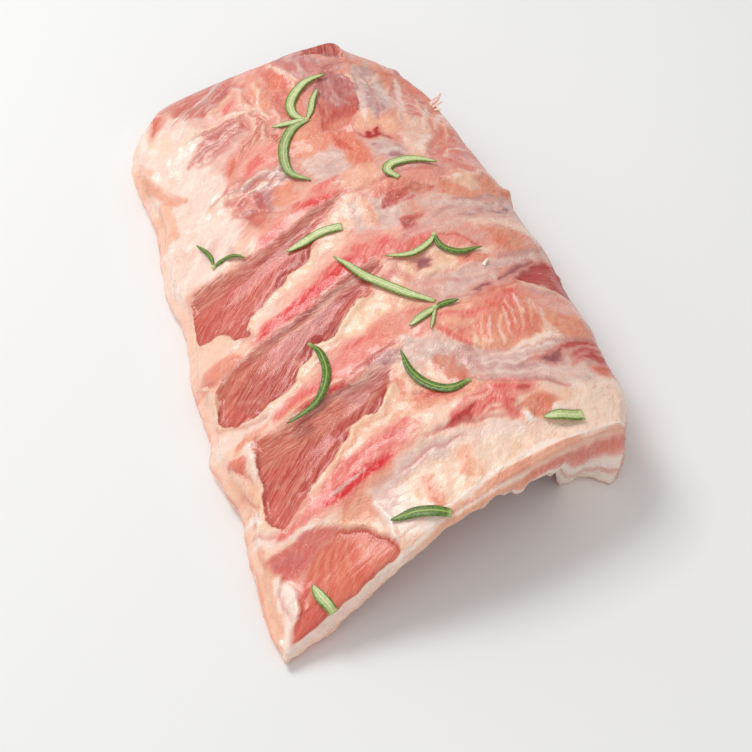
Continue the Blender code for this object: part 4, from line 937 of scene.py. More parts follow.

# Creases: half width, depth and line. Each crease is also darkened with painted shade.
CREASES = [
    (0.9, 0.6, [(-40, -97), (-36, -98.2), (-31, -100.4), (-28, -103.8), (-25.5, -107), (-23.5, -113)]),
    (0.8, 0.4, [(-44, 53), (-38, 55.5), (-32, 52), (-26, 55), (-20, 53)]),
    (0.8, 0.4, [(-38, 44), (-32, 40), (-30, 33)]),
    (0.8, 0.5, [(-27.5, 50), (-26, 45), (-27, 38), (-22, 34)]),
    (0.8, 0.5, [(-2, 30), (2, 30.5), (12, 30), (22, 32), (34, 31)]),
    (0.6, 0.35, [(26.5, -0.8), (31, -3), (34, -5.2), (37.5, -8.6)]),
    (0.7, 0.35, [(20, -30), (30, -31), (38, -30), (46, -28)]),
    (0.7, 0.35, [(14, -64), (22, -68), (32, -71), (46, -75)]),
    (0.7, 0.4, [(-4, -80.7), (4, -79.6), (8, -79.2), (14, -80), (22, -81)]),
    (0.8, 0.4, [(-62, -62), (-58, -58), (-54, -53)]),
    (0.8, 0.4, [(-66, -20), (-60, -25), (-54, -23)]),
    (0.7, 0.35, [(25, 66), (28, 78), (30, 96)]),
    (0.7, 0.3, [(34, 64), (37, 78), (41, 94)]),
    (0.7, 0.3, [(42, 60), (47, 70), (53, 84)]),
    (0.7, 0.3, [(-15, -88), (-4, -85), (8, -84)]),
    (0.6, 0.4, [(49.5, -42), (48, -47), (50, -52), (54, -55)]),
    (0.6, 0.35, [(-24, -49), (-16, -46), (-10, -44), (-3, -42)]),
    (0.7, 0.35, [(-58, -103.5), (-62, -108), (-60, -120)]),
    (0.7, 0.4, [(-38, 52), (-33, 47), (-29, 50), (-25, 48)]),
    (0.7, 0.4, [(-34, 42), (-29, 38), (-25, 41)]),
    (0.8, 0.4, [(-37, 91.5), (-30, 93), (-24, 94), (-20, 92), (-16, 91)]),
    (0.7, 0.5, [(-16.5, 110), (-17.5, 102), (-15, 95)]),
    (0.7, 0.5, [(-22, 91), (-20, 84), (-23, 76)]),
    (0.7, 0.5, [(-15.5, 90), (-14, 83), (-16, 76)]),
    (0.8, 0.5, [(-67, -57), (-62, -61), (-59, -66)]),
    (0.8, 0.5, [(-68, -66), (-63, -70), (-60, -76)]),
    (0.8, 0.5, [(-66, -84), (-62, -86), (-58, -90)]),
    (0.7, 0.4, [(-66, -38), (-63, -42), (-56, -46), (-48, -47)]),
]
# Raised cords: tissue, half width, rise and line.
CORDS = [
    ("cream fat", 1.1, 0.5, [(-21, 113), (-18, 106), (-20, 100), (-16, 94)]),
    ("cream fat", 1.0, 0.5, [(-14, 110), (-12, 101), (-15, 94), (-12.5, 86)]),
    ("cream fat", 1.0, 0.5, [(-25, 97), (-20.5, 94), (-18, 88), (-20, 82), (-23, 75)]),
    ("cream fat", 0.9, 0.8, [(-17, 90.5), (-15.5, 84), (-18, 76)]),
    ("cream fat", 0.9, 0.7, [(-10, 92), (-9, 84), (-12, 75)]),
    ("cream fat", 0.6, 0.5, [(-6, 125), (-2.2, 114), (0, 103.5), (1.5, 97)]),
    ("yellow fat", 0.9, 0.9, [(-58, -24.5), (-62.5, -28), (-63.5, -32), (-62, -36)]),
    ("bright fat", 1.0, 0.9, [(-57.5, -53), (-56.8, -60), (-58, -68)]),
    ("bright fat", 1.0, 1.1, [(-67, -81), (-64.5, -77.8), (-62, -79), (-60.3, -84)]),
    ("cream fat", 0.9, 0.8, [(-67, -60), (-62.5, -64), (-60.5, -70)]),
    ("cream fat", 0.9, 0.8, [(-67, -71), (-63, -75), (-60.5, -80)]),
    ("bright fat", 1.3, 0.9, [(-58, -106), (-57.5, -114), (-60, -126)]),
    ("cream fat", 0.6, 0.4, [(49.5, -41), (48, -47), (50, -52), (54, -56)]),
    ("bright fat", 1.0, 0.8, [(-22, -114), (-24, -108), (-22.5, -103), (-24, -98), (-26.5, -93)]),
    ("cream fat", 0.8, 0.6, [(26, 98), (29, 92), (33, 95), (37, 102)]),
    ("cream fat", 0.7, 0.6, [(33, 63), (37, 75), (35.5, 86), (40, 97)]),
    ("cream fat", 0.7, 0.6, [(41, 58), (46, 68), (44.5, 78), (49, 90)]),
    ("cream fat", 0.7, 0.6, [(49, 52), (51, 62), (55, 72), (54, 82)]),
    ("cream fat", 0.6, 0.5, [(37, 76), (42, 79), (45, 76)]),
    ("cream fat", 0.6, 0.5, [(45, 69), (49, 66), (52, 62)]),
    ("cream fat", 0.8, 0.6, [(34.5, 38), (37, 48), (43, 55)]),
    ("cream fat", 0.7, 0.5, [(42, 37), (47, 46), (55, 50)]),
    ("cream fat", 0.8, 0.6, [(12, -16.6), (18, -17.6), (22, -15.8), (27, -17.6), (36, -17)]),
    ("blush", 0.8, 0.6, [(-37, 48), (-32, 50.5), (-28, 46)]),
    ("blush", 0.8, 0.6, [(-34, 44.5), (-29.5, 43), (-25, 37)]),
    ("pale veil", 0.8, 0.6, [(-40, 56), (-32, 53.5), (-26, 56.5), (-19, 58)]),
    ("cream fat", 0.8, 0.6, [(44, 31), (50, 29), (57, 34)]),
    ("cream fat", 0.7, 0.5, [(36, 27), (42, 25), (47, 28)]),
    ("white fat", 0.8, 0.6, [(-50, 20), (-44, 25), (-38, 24), (-32, 29)]),
    ("white fat", 0.9, 0.6, [(-54, -15), (-48, -11), (-44, -5)]),
]
# Lumps of fat: centre, half length, half width, turn in degrees and rise.
LUMPS = [
    (30, -84, 3.0, 1.6, -35, 1.0), (39.6, -83.4, 3.4, 1.5, -8, 1.0), (-63.3, -31, 1.6, 5, 5, 0.9),
    (-63.5, -79, 3.0, 1.8, 20, 1.1), (-59, -114, 2.2, 9, 5, 0.6), (-63.5, -127.5, 2.6, 2.6, 0, 1.0),
    (-50, -99, 8, 3.5, 0, 0.4), (11, -60, 4, 6, 20, 0.6), (-34, -90, 9, 3, 15, 0.4),
    (40, -42, 6, 8, 20, 0.5), (28, -46, 5, 7, 15, 0.5), (57, -49, 8, 5, 5, 0.7), (34, -15.5, 5, 2.4, 10, 0.6),
    (20, 28.5, 9, 2.4, 5, 0.6), (26, 80, 3, 11, 10, 0.5), (32, 90, 2, 8, -5, 0.5), (46, 26, 6, 3.5, 10, 0.7),
    (49, -8, 6, 5, 60, 0.7), (-4, 66, 5, 9, 10, 0.5), (-12, 104, 2.6, 12, 0, 0.6), (6, 112, 2.4, 8, -10, 0.6),
    (24, -77, 3, 5, 10, 0.4), (0, -94, 14, 6, 10, 0.6), (-14, -102, 7, 7, 0, 0.7),
    (38, 46, 3, 9, -25, 0.4), (48, 44, 3, 12, -25, 0.5), (44, 80, 4, 16, -15, 0.6), (-59, 62, 3.5, 9, 5, 0.5),
    (-62, 90, 2.8, 7, 5, 0.5), (-58, 104, 1.6, 9, -10, 0.8), (18, -17.5, 5, 1.6, 5, 0.6),
    (7, 18, 2, 8, 0, 0.4),
    (-27, 55, 6, 2.5, 10, 0.4), (-17, 42, 4, 5, 20, 0.5), (-8, 30, 7, 2.6, 5, 0.5),
    (-22, -78, 9, 2.5, 12, 0.4),
    (-54, -51.5, 6, 1.8, 15, 0.5), (-61.5, -59, 3.5, 2.6, 10, 0.6), (-60, -20, 8, 2.6, 5, 0.5),
]


def tone(name):
    """A tissue's colour, as Blender mixes it."""
    return np.array(linear(*TONES[name]))


def lay(colour, name, share):
    """Mixes a tissue's colour over another by a share for each place."""
    return colour + (tone(name) - colour) * share[:, None]


def wander(x, y):
    """Plan places moved a little, so that no outline or streak runs too evenly."""
    return (x + 0.8 * ripple(x, y, 6.5, 11) + 0.5 * ripple(x, y, 2.9, 12) + 0.3 * ripple(x, y, 1.5, 13),
            y + 0.8 * ripple(x, y, 6.5, 21) + 0.5 * ripple(x, y, 2.9, 22) + 0.3 * ripple(x, y, 1.5, 23))


def frayed(x, y, way, softness, seed):
    """Unevenness of an edge: broad waves, and strands that run across it."""
    u, v = turned(x, y, way)
    return 0.45 * ripple(x, y, softness + 1, seed) + 0.55 * ripple(u / 7, v / 1.3, 1, seed + 1)


def lay_strands(colour, name, share, x, y, way, seed):
    """Lays a tissue and, in strands through it, the one that shows there too."""
    second, strength = STRANDS.get(name, (name, 0))
    u, v = turned(x, y, way)
    strand = 0.6 * ripple(u / 8, v / 1.9, 1, seed) + 0.4 * ripple(u / 3, v / 0.9, 1, seed + 1)
    return lay(lay(colour, name, share), second, share * strength * smooth(0.0, 0.55, strand))


def tint(colour, washes, streaks, x, y):
    """Lays soft washes and streaks over a colour, their edges drawn out into strands."""
    for seed, (name, strength, softness, way, outline) in enumerate(washes):
        fray = frayed(x, y, way, softness, 300 + 3 * seed)
        reach = 0.3 * softness
        share = strength * smooth(-reach, reach, patch_depth(x, y, outline) + 0.5 * softness * fray)
        colour = lay_strands(colour, name, share, x, y, way, 600 + seed)
    for seed, (name, strength, softness, half_width, points) in enumerate(streaks):
        (ax, ay), (bx, by) = points[0], points[-1]
        way = math.degrees(math.atan2(by - ay, bx - ax))
        fray = frayed(x, y, way, softness, 900 + 3 * seed)
        depth = trail_depth(x, y, points, half_width) + 0.4 * softness * fray
        share = strength * smooth(-0.6 * softness, half_width * 0.4, depth)
        colour = lay_strands(colour, name, share, x, y, way, 1200 + seed)
    return colour


class Tissue:
    """What the top of the rack is at each place of its plan: colours, lean depth, fibres and height."""

    def __init__(self, x, y):
        wx, wy = wander(x, y)
        self.flesh = tint(np.tile(tone("cream fat"), (len(x), 1)), WASHES, STREAKS, wx, wy)
        self.edge = np.full(len(x), -9.0)
        self.lean = np.zeros((len(x), 3))
        self.fibre = np.zeros((len(x), 3))
        self.rise = np.zeros(len(x))
        self.crisp, self.torn, self.strength = np.zeros((3, len(x)))
        total = np.full(len(x), 1e-6)
        for name, sunk, way, outline in BAYS:
            self.add_lean(name, sunk, way, patch_depth(wx, wy, outline), total)
        for name, sunk, way, half_width, points in STRIPS:
            self.add_lean(name, sunk, way, trail_depth(wx, wy, points, half_width), total)
        self.lean /= total[:, None]
        self.fibre /= total[:, None]
        self.torn /= total
        self.strength /= total
        for outline in SLANT_BANDS:
            slanting = smooth(-2, 2, patch_depth(wx, wy, outline))[:, None]
            self.fibre = self.fibre * (1 - slanting) + np.array([1, 0, 0]) * slanting
        self.lean = tint(self.lean, LEAN_WASHES, LEAN_STREAKS, wx, wy)
        self.shape(x, y, wx, wy)

    def add_lean(self, name, sunk, way, depth, total):
        """One piece of bare lean: its colour and fibres count where it is the nearest."""
        near = np.exp(np.clip(depth, -8, 4))
        self.lean += tone(name) * near[:, None]
        self.fibre[:, FIBRE_WAYS.index(way)] += near
        self.torn += near * TORN_EDGE.get(name, 1)
        self.strength += near * FIBRE_STRENGTH.get(name, 1)
        total += near
        self.edge = np.maximum(self.edge, depth)
        self.rise -= sunk * smooth(-0.6, 2.6, depth)

    def shape(self, x, y, wx, wy):
        """Lips of fat with painted shade on the lean beside them, creases darkened with painted shade, lumps
        and unevenness.
        """
        for lip, drop, reach, points in STEPS:
            away, side, share = line_distance(wx, wy, points)
            ends = smooth(0, 0.12, share) * (1 - smooth(0.88, 1, share))
            raised = lip * np.exp(-((away - 0.8) / (reach * 0.6)) ** 2) * (side > 0)
            sunk = drop * np.exp(-(away / reach) ** 2) * (side <= 0)
            self.rise += (raised - sunk) * ends
            self.crisp = np.maximum(self.crisp, np.exp(-(away / 4) ** 2) * ends)
            edging = 0.55 * np.exp(-((away - 1.2) / 1.3) ** 2) * (side > 0) * ends
            self.flesh = lay(self.flesh, "yellow fat", edging)
            # Painted shade: the lean beside each fat lip is darkened with bay deep.
            self.lean = lay(self.lean, "bay deep", 0.6 * np.exp(-(away / 2) ** 2) * (side <= 0) * ends)
        halo = 0.6 * smooth(-3.0, 0.3, self.edge) * np.clip(1 - 1.6 * self.crisp, 0, 1)
        self.flesh = lay(self.flesh, "bay pale", halo)
        self.torn = self.torn * (1 - smooth(0.1, 0.6, self.crisp))
        for half_width, depth, points in CREASES:
            near = np.exp(-(line_distance(wx, wy, points)[0] / half_width) ** 2)
            self.rise -= depth * near
            # Painted shade: the fat is darkened along each crease with stripe lean.
            self.flesh = lay(self.flesh, "stripe lean", 0.5 * near)
        for name, half_width, rise, points in CORDS:
            away, _, share = line_distance(wx, wy, points)
            near = np.exp(-(away / half_width) ** 2) * smooth(0, 0.15, share) * (1 - smooth(0.85, 1, share))
            self.rise += rise * near
            self.flesh = lay(self.flesh, name, 0.8 * near)
        for cx, cy, half_length, half_width, turn, rise in LUMPS:
            u, v = turned(wx - cx, wy - cy, turn)
            self.rise += rise * np.exp(-((u / half_length) ** 2 + (v / half_width) ** 2))
        fat = 1 - smooth(-0.3, 0.6, self.edge)
        u, v = turned(x, y, 25)
        self.rise += fat * (0.60 * grainy(x, y, 9, 31) + 0.32 * grainy(x, y, 3.4, 41, 2))
        self.rise += (1 - fat) * (0.16 * ripple(u * 0.12, v, 1.6, 51) + 0.25 * ripple(u * 0.3, v, 5, 52))


# ---------------------------------------------------------------------------------------------------------
# The cut sides and the underside.

# Layers of each side from the top down: the share of its height where the layer ends, and its tissue.
# The top band of bright fat on the near cut's toe and flap is partly a painted highlight along its rim.
NEAR_TOE = [(0.82, "bright fat"), (0.55, "white fat"), (0.25, "cream fat"), (-1, "blush")]
NEAR_FLAP = [(0.84, "bright fat"), (0.46, "warm fat"), (0.22, "white fat"), (-1, "rose fat")]
NEAR_LEG = [
    (0.90, "cream fat"), (0.69, "salmon"), (0.58, "blush"), (0.34, "bright fat"), (0.27, "salmon"),
    (-1, "bright fat"),
]
FAR_END = [
    (0.88, "cream fat"), (0.70, "bay lean"), (0.62, "white fat"), (0.34, "bay pale"), (0.20, "blush"),
    (-1, "cream fat"),
]
BREAST_SIDE = [(0.62, "cream fat"), (0.44, "blush"), (0.28, "cream fat"), (-1, "silverskin")]
CHINE_SIDE = [
    (0.90, "cream fat"), (0.72, "salmon"), (0.66, "warm fat"), (0.36, "bay pale"), (0.30, "warm fat"),
    (0.14, "blush"), (-1, "cream fat"),
]
LAYER_SOFTNESS = 0.07
# Shares of the height over which the top's lean comes in, the sides' colours go and the underside's go.
TOP_TURN, SIDE_TURN, UNDER_TURN = (0.80, 0.97), (0.84, 0.98), (0.0, 0.08)
# The furthest that a place counts as in or out of the lean, in millimetres.
EDGE_REACH = 4.0
LEG_SLANT = 0.05
BONE_END_HEIGHT, BONE_END_HALF_HEIGHT, BONE_END_HALF_WIDTH = 13.5, 7.5, 6.2


def layered(stack, share):
    """Colours of a cut side at shares of its height, 1 at the top."""
    colour = np.tile(tone(stack[-1][1]), (len(share), 1))
    for end, name in reversed(stack[:-1]):
        colour = lay(colour, name, smooth(end - LAYER_SOFTNESS, end + LAYER_SOFTNESS, share))
    return colour


def skin_heights(across, along, x, y, rise):
    """Heights of the underside and of the top at each place."""
    rim = rim_distance(across, along)
    hang = np.interp(across, *zip(*NEAR_HANG))
    hang = hang - NEAR_RAGGED * ripple(x, y, 2.4, 83) * smooth(0.12, 0.3, across)
    low = np.maximum(0, under_height(along, across, x, y) - hang * (1 - smooth(0, NEAR_HANG_REACH, along)))
    ridges = RIB_RISE_TOP * (rib_ridge(x, y) - 0.5) * smooth(0, RIDGE_FADE, along)
    edge_drop = RIM_DROP * (1 - smooth(0, RIM_REACH, rim)) ** 2
    high = arch_height(along, across) + ridges + rise * smooth(-RIM_REACH, RIM_REACH, rim) - edge_drop
    return low, np.maximum(high, low + THINNEST)


def rim_swell(across, along):
    """How far the far cut, its corner and the chine side stand out past the plan."""
    corner = FAR_CORNER_SWELL * smooth(0.6, 0.85, across) * (1 - smooth(0.95, 1, across))
    far = (FAR_SWELL + corner) * (1 - smooth(0, RIM_REACH, (1 - along) * RACK_LENGTH))
    chine = CHINE_SWELL * (1 - smooth(0, RIM_REACH, (1 - across) * RACK_WIDTH)) * smooth(0, 0.1, along)
    return far + chine


def rack_places(across, along, up):
    """Where each corner of the box goes, in millimetres, and the tissue of the top above it."""
    x, y = plan(along, across)
    tissue = Tissue(x, y)
    low, high = skin_heights(across, along, x, y, tissue.rise)
    z = low + (high - low) * up
    aim_x, aim_y = plan(np.clip(along, RIM_AIM, 1 - RIM_AIM), np.clip(across, RIM_AIM, 1 - RIM_AIM))
    inward = np.stack([aim_x - x, aim_y - y], 1)
    length = np.linalg.norm(inward, axis=1)
    inward = inward / np.maximum(length, 1e-6)[:, None]
    rounding = RIM_ROUND * (1 - np.sin(math.pi * up)) * np.clip(length / (RIM_AIM * RACK_WIDTH), 0, 1)
    pull = rounding - rim_swell(across, along)
    at_rim = 1 - smooth(0, BUMP_REACH, rim_distance(across, along))
    for bump_x, bump_y, half_width, out, hang in RIM_BUMPS:
        near = np.exp(-((x - bump_x) ** 2 + (y - bump_y) ** 2) / half_width ** 2) * at_rim
        pull = pull - out * near
        z = np.maximum(0, z - hang * near * (1 - up))
    start, full, easing, end = NEAR_LEAN_ACROSS
    lean = smooth(start, full, across) * (1 - smooth(easing, end, across))
    back = NEAR_LEAN * lean * (1 - smooth(0, NEAR_LEAN_SHARE, along)) * (1 - up)
    step = inward * pull[:, None]
    return np.stack([x + step[:, 0], y + step[:, 1] + back, z], 1), x, y, tissue


def bone_share(x, y, z):
    """Share of the way into a sawn rib end, 0 outside it to 1 at its middle."""
    offsets = rib_offsets(x, y)
    nearest = np.take_along_axis(offsets, np.abs(offsets).argmin(0)[None], 0)[0]
    level = np.zeros(len(z))
    uneven = 0.22 * ripple(x + y, z, 6, 65) + 0.12 * ripple(x + y, level, 55, 68)
    upward = (z - BONE_END_HEIGHT - 2.2 * ripple(x + y, level, 48, 66)) / BONE_END_HALF_HEIGHT
    return np.clip(1 + uneven - np.hypot(nearest / BONE_END_HALF_WIDTH, upward), 0, 1)


def near_cut_colour(share, across):
    """Colours of the near cut: a pale toe and flap, and the banded leg by the chine."""
    toe, leg = smooth(0.45, 0.3, across)[:, None], smooth(0.55, 0.78, across)[:, None]
    slant = np.clip(share - LEG_SLANT * (across - 0.9) / 0.1, 0, 1)
    colour = layered(NEAR_TOE, share) * toe + layered(NEAR_FLAP, share) * (1 - toe)
    return colour * (1 - leg) + layered(NEAR_LEG, slant) * leg


def chine_colour(share, x, y, z):
    """Colours of the sawn long side: bands of lean and fat, with the sawn rib ends in a row."""
    bone = bone_share(x, y, z)
    patches = smooth(-0.1, 0.5, ripple(x + y, z * 1.5, 17, 64))
    spongy = 0.12 * ripple(x + y, z, 1.9, 67)
    colour = lay(layered(CHINE_SIDE, share), "blush", 0.6 * patches)
    colour = lay(colour, "bone", 0.8 * smooth(0, 0.16, bone))
    return lay(colour, "marrow", (0.72 + spongy) * smooth(0.16, 0.46, bone))


def underside_colour(across, along, x, y):
    """Colours underneath: membrane over the ribs, lean between them, and fat round the rim."""
    ridge = rib_ridge(x, y)
    colour = np.tile(tone("silverskin"), (len(x), 1))
    colour = lay(colour, "bay lean", 0.75 * smooth(0.55, 0.1, ridge) * smooth(0.04, 0.16, across))
    colour = lay(colour, "bone", 0.6 * smooth(0.55, 0.9, ridge))
    rim = rim_distance(across, along) + 3 * ripple(x, y, 12, 71)
    return lay(colour, "cream fat", 0.85 * (1 - smooth(2, 14, rim)))


def side_colour(colour, across, along, up, x, y, z):
    """Colours of the cut sides and the underside laid over the top's own colours."""
    wave = 0.07 * grainy(x + y, z * 0.4, 13, 61) + 0.03 * ripple(x + y, z, 3.5, 62)
    broad = 0.16 * ripple(x + y, z * 0.5, 34, 63) * smooth(-0.02, 0.1, along)
    share = np.clip(up + wave + broad, 0, 1)
    breast = 0.5 * layered(BREAST_SIDE, share) + 0.5 * colour
    for face, on_it in ((near_cut_colour(share, across), along <= 0), (layered(FAR_END, share), along >= 1),
                        (breast, across <= 0), (chine_colour(share, x, y, z), across >= 1)):
        reach = (on_it * (1 - smooth(*SIDE_TURN, up)))[:, None]
        colour = colour * (1 - reach) + face * reach
    below = (1 - smooth(*UNDER_TURN, up))[:, None]
    return colour * (1 - below) + underside_colour(across, along, x, y) * below


def side_relief(across, along, up, x, y, z):
    """How far the sides stand out, in millimetres towards +X and +Y: torn and sawn, not smooth."""
    rough = 0.75 * grainy(x + z * 0.5, y - z * 0.5, 7, 81) + 0.35 * ripple(x + y, z * 2, 2.6, 82)
    body = rough * smooth(0, 0.1, up) * (1 - smooth(0.9, 1, up))
    bones = 0.5 * smooth(0, 0.2, bone_share(x, y, z)) * smooth(0, 0.1, up)
    out_x = (body + bones) * (across >= 1) - body * (across <= 0)
    out_y = body * (along >= 1) - body * (along <= 0)
    return out_x, out_y


# ---------------------------------------------------------------------------------------------------------
# Meshes and finishes.

def cut_edges(bm, axis, cuts):
    """Splits every edge of the box that runs along one axis."""
    edges = [e for e in bm.edges if abs((e.verts[0].co - e.verts[1].co).normalized()[axis]) > 0.9]
    bmesh.ops.subdivide_edges(bm, edges=edges, cuts=cuts, use_grid_fill=True)


def box_of_cells(cells):
    """A unit box cut into cells, twice as fine on its top."""
    bm = bmesh.new()
    bmesh.ops.create_cube(bm, size=1)
    for axis, count in enumerate(cells):
        cut_edges(bm, axis, count - 1)
    top = [e for e in bm.edges if e.verts[0].co.z > 0.4999 and e.verts[1].co.z > 0.4999]
    bmesh.ops.subdivide_edges(bm, edges=top, cuts=1, use_grid_fill=True)
    return bm


def mesh_object(name, bm, finish):
    """A smooth object from a bmesh, which it frees."""
    mesh = bpy.data.meshes.new(name)
    bm.to_mesh(mesh)
    bm.free()
    mesh.materials.append(finish)
    mesh.shade_smooth()
    made = bpy.data.objects.new(name, mesh)
    bpy.context.scene.collection.objects.link(made)
    return made


def store(mesh, name, kind, values):
    """Keeps one value or colour for each corner point of a mesh."""
    layer = mesh.attributes.new(name, kind, "POINT")
    layer.data.foreach_set("value" if kind == "FLOAT" else "color", np.asarray(values, np.float32).ravel())


def with_alpha(colour, alpha=None):
    """A colour table with a fourth column."""
    last = np.ones(len(colour)) if alpha is None else alpha
    return np.concatenate([colour, last[:, None]], 1)


class Net:
    """A material's nodes, each put in and linked in one call."""

    def __init__(self, name):
        self.material = bpy.data.materials.new(name)
        self.material.use_nodes = True
        self.tree = self.material.node_tree
        self.shader = self.tree.nodes["Principled BSDF"]

    def put(self, kind, links, **settings):
        """One node, with its settings and with what feeds each socket."""
        node = self.tree.nodes.new(kind)
        for key, value in settings.items():
            setattr(node, key, value)
        self.feed(node, links)
        return node

    def feed(self, node, links):
        """Links or sets sockets of a node."""
        for key, source in links.items():
            if isinstance(source, bpy.types.NodeSocket):
                self.tree.links.new(source, node.inputs[key])
            else:
                node.inputs[key].default_value = source

    def read(self, name):
        """An attribute of the mesh."""
        return self.put("ShaderNodeAttribute", {}, attribute_name=name)

    def place(self):
        """Object coordinates."""
        return self.put("ShaderNodeTexCoord", {}).outputs["Object"]

    def noise(self, vector, size, detail=2.0, roughness=0.5):
        """Noise whose blotches are about size metres across."""
        links = {"Vector": vector, "Scale": 1 / size, "Detail": detail, "Roughness": roughness}
        return self.put("ShaderNodeTexNoise", links).outputs["Fac"]

    def bent(self, vector, size, reach):
        """Coordinates moved about in waves of a size, by up to about half the reach."""
        links = {"Vector": vector, "Scale": 1 / size, "Detail": 2.0}
        colour = self.put("ShaderNodeTexNoise", links).outputs["Color"]
        centred = self.put("ShaderNodeVectorMath", {0: colour, 1: (0.5, 0.5, 0.5)}, operation="SUBTRACT")
        moved = self.put("ShaderNodeVectorMath", {0: centred.outputs[0], 1: (reach, reach, reach), 2: vector},
                         operation="MULTIPLY_ADD")
        return moved.outputs[0]

    def stretched(self, vector, degrees, long, short):
        """Coordinates that stretch a pattern along a direction of the plan."""
        node = self.put("ShaderNodeMapping", {
            "Vector": vector, "Rotation": (0, 0, math.radians(degrees)), "Scale": (long, short, long),
        }, vector_type="TEXTURE")
        return node.outputs["Vector"]

    def sum(self, a, b, operation="ADD", c=0.0):
        """One sum of two or three numbers."""
        node = self.put("ShaderNodeMath", {0: a, 1: b, 2: c}, operation=operation)
        return node.outputs[0]

    def ramp(self, value, low, high, out_low=0.0, out_high=1.0):
        """An eased step from one value to another."""
        links = {"Value": value, "From Min": low, "From Max": high, "To Min": out_low, "To Max": out_high}
        return self.put("ShaderNodeMapRange", links, interpolation_type="SMOOTHSTEP").outputs["Result"]

    def mix(self, share, first, second, blend="MIX"):
        """One colour mixed with another."""
        node = self.put("ShaderNodeMix", {}, data_type="RGBA", blend_type=blend)
        for index, source in ((0, share), (6, first), (7, second)):
            if isinstance(source, bpy.types.NodeSocket):
                self.tree.links.new(source, node.inputs[index])
            else:
                node.inputs[index].default_value = source if index == 0 else (*source, 1)
        return node.outputs[2]


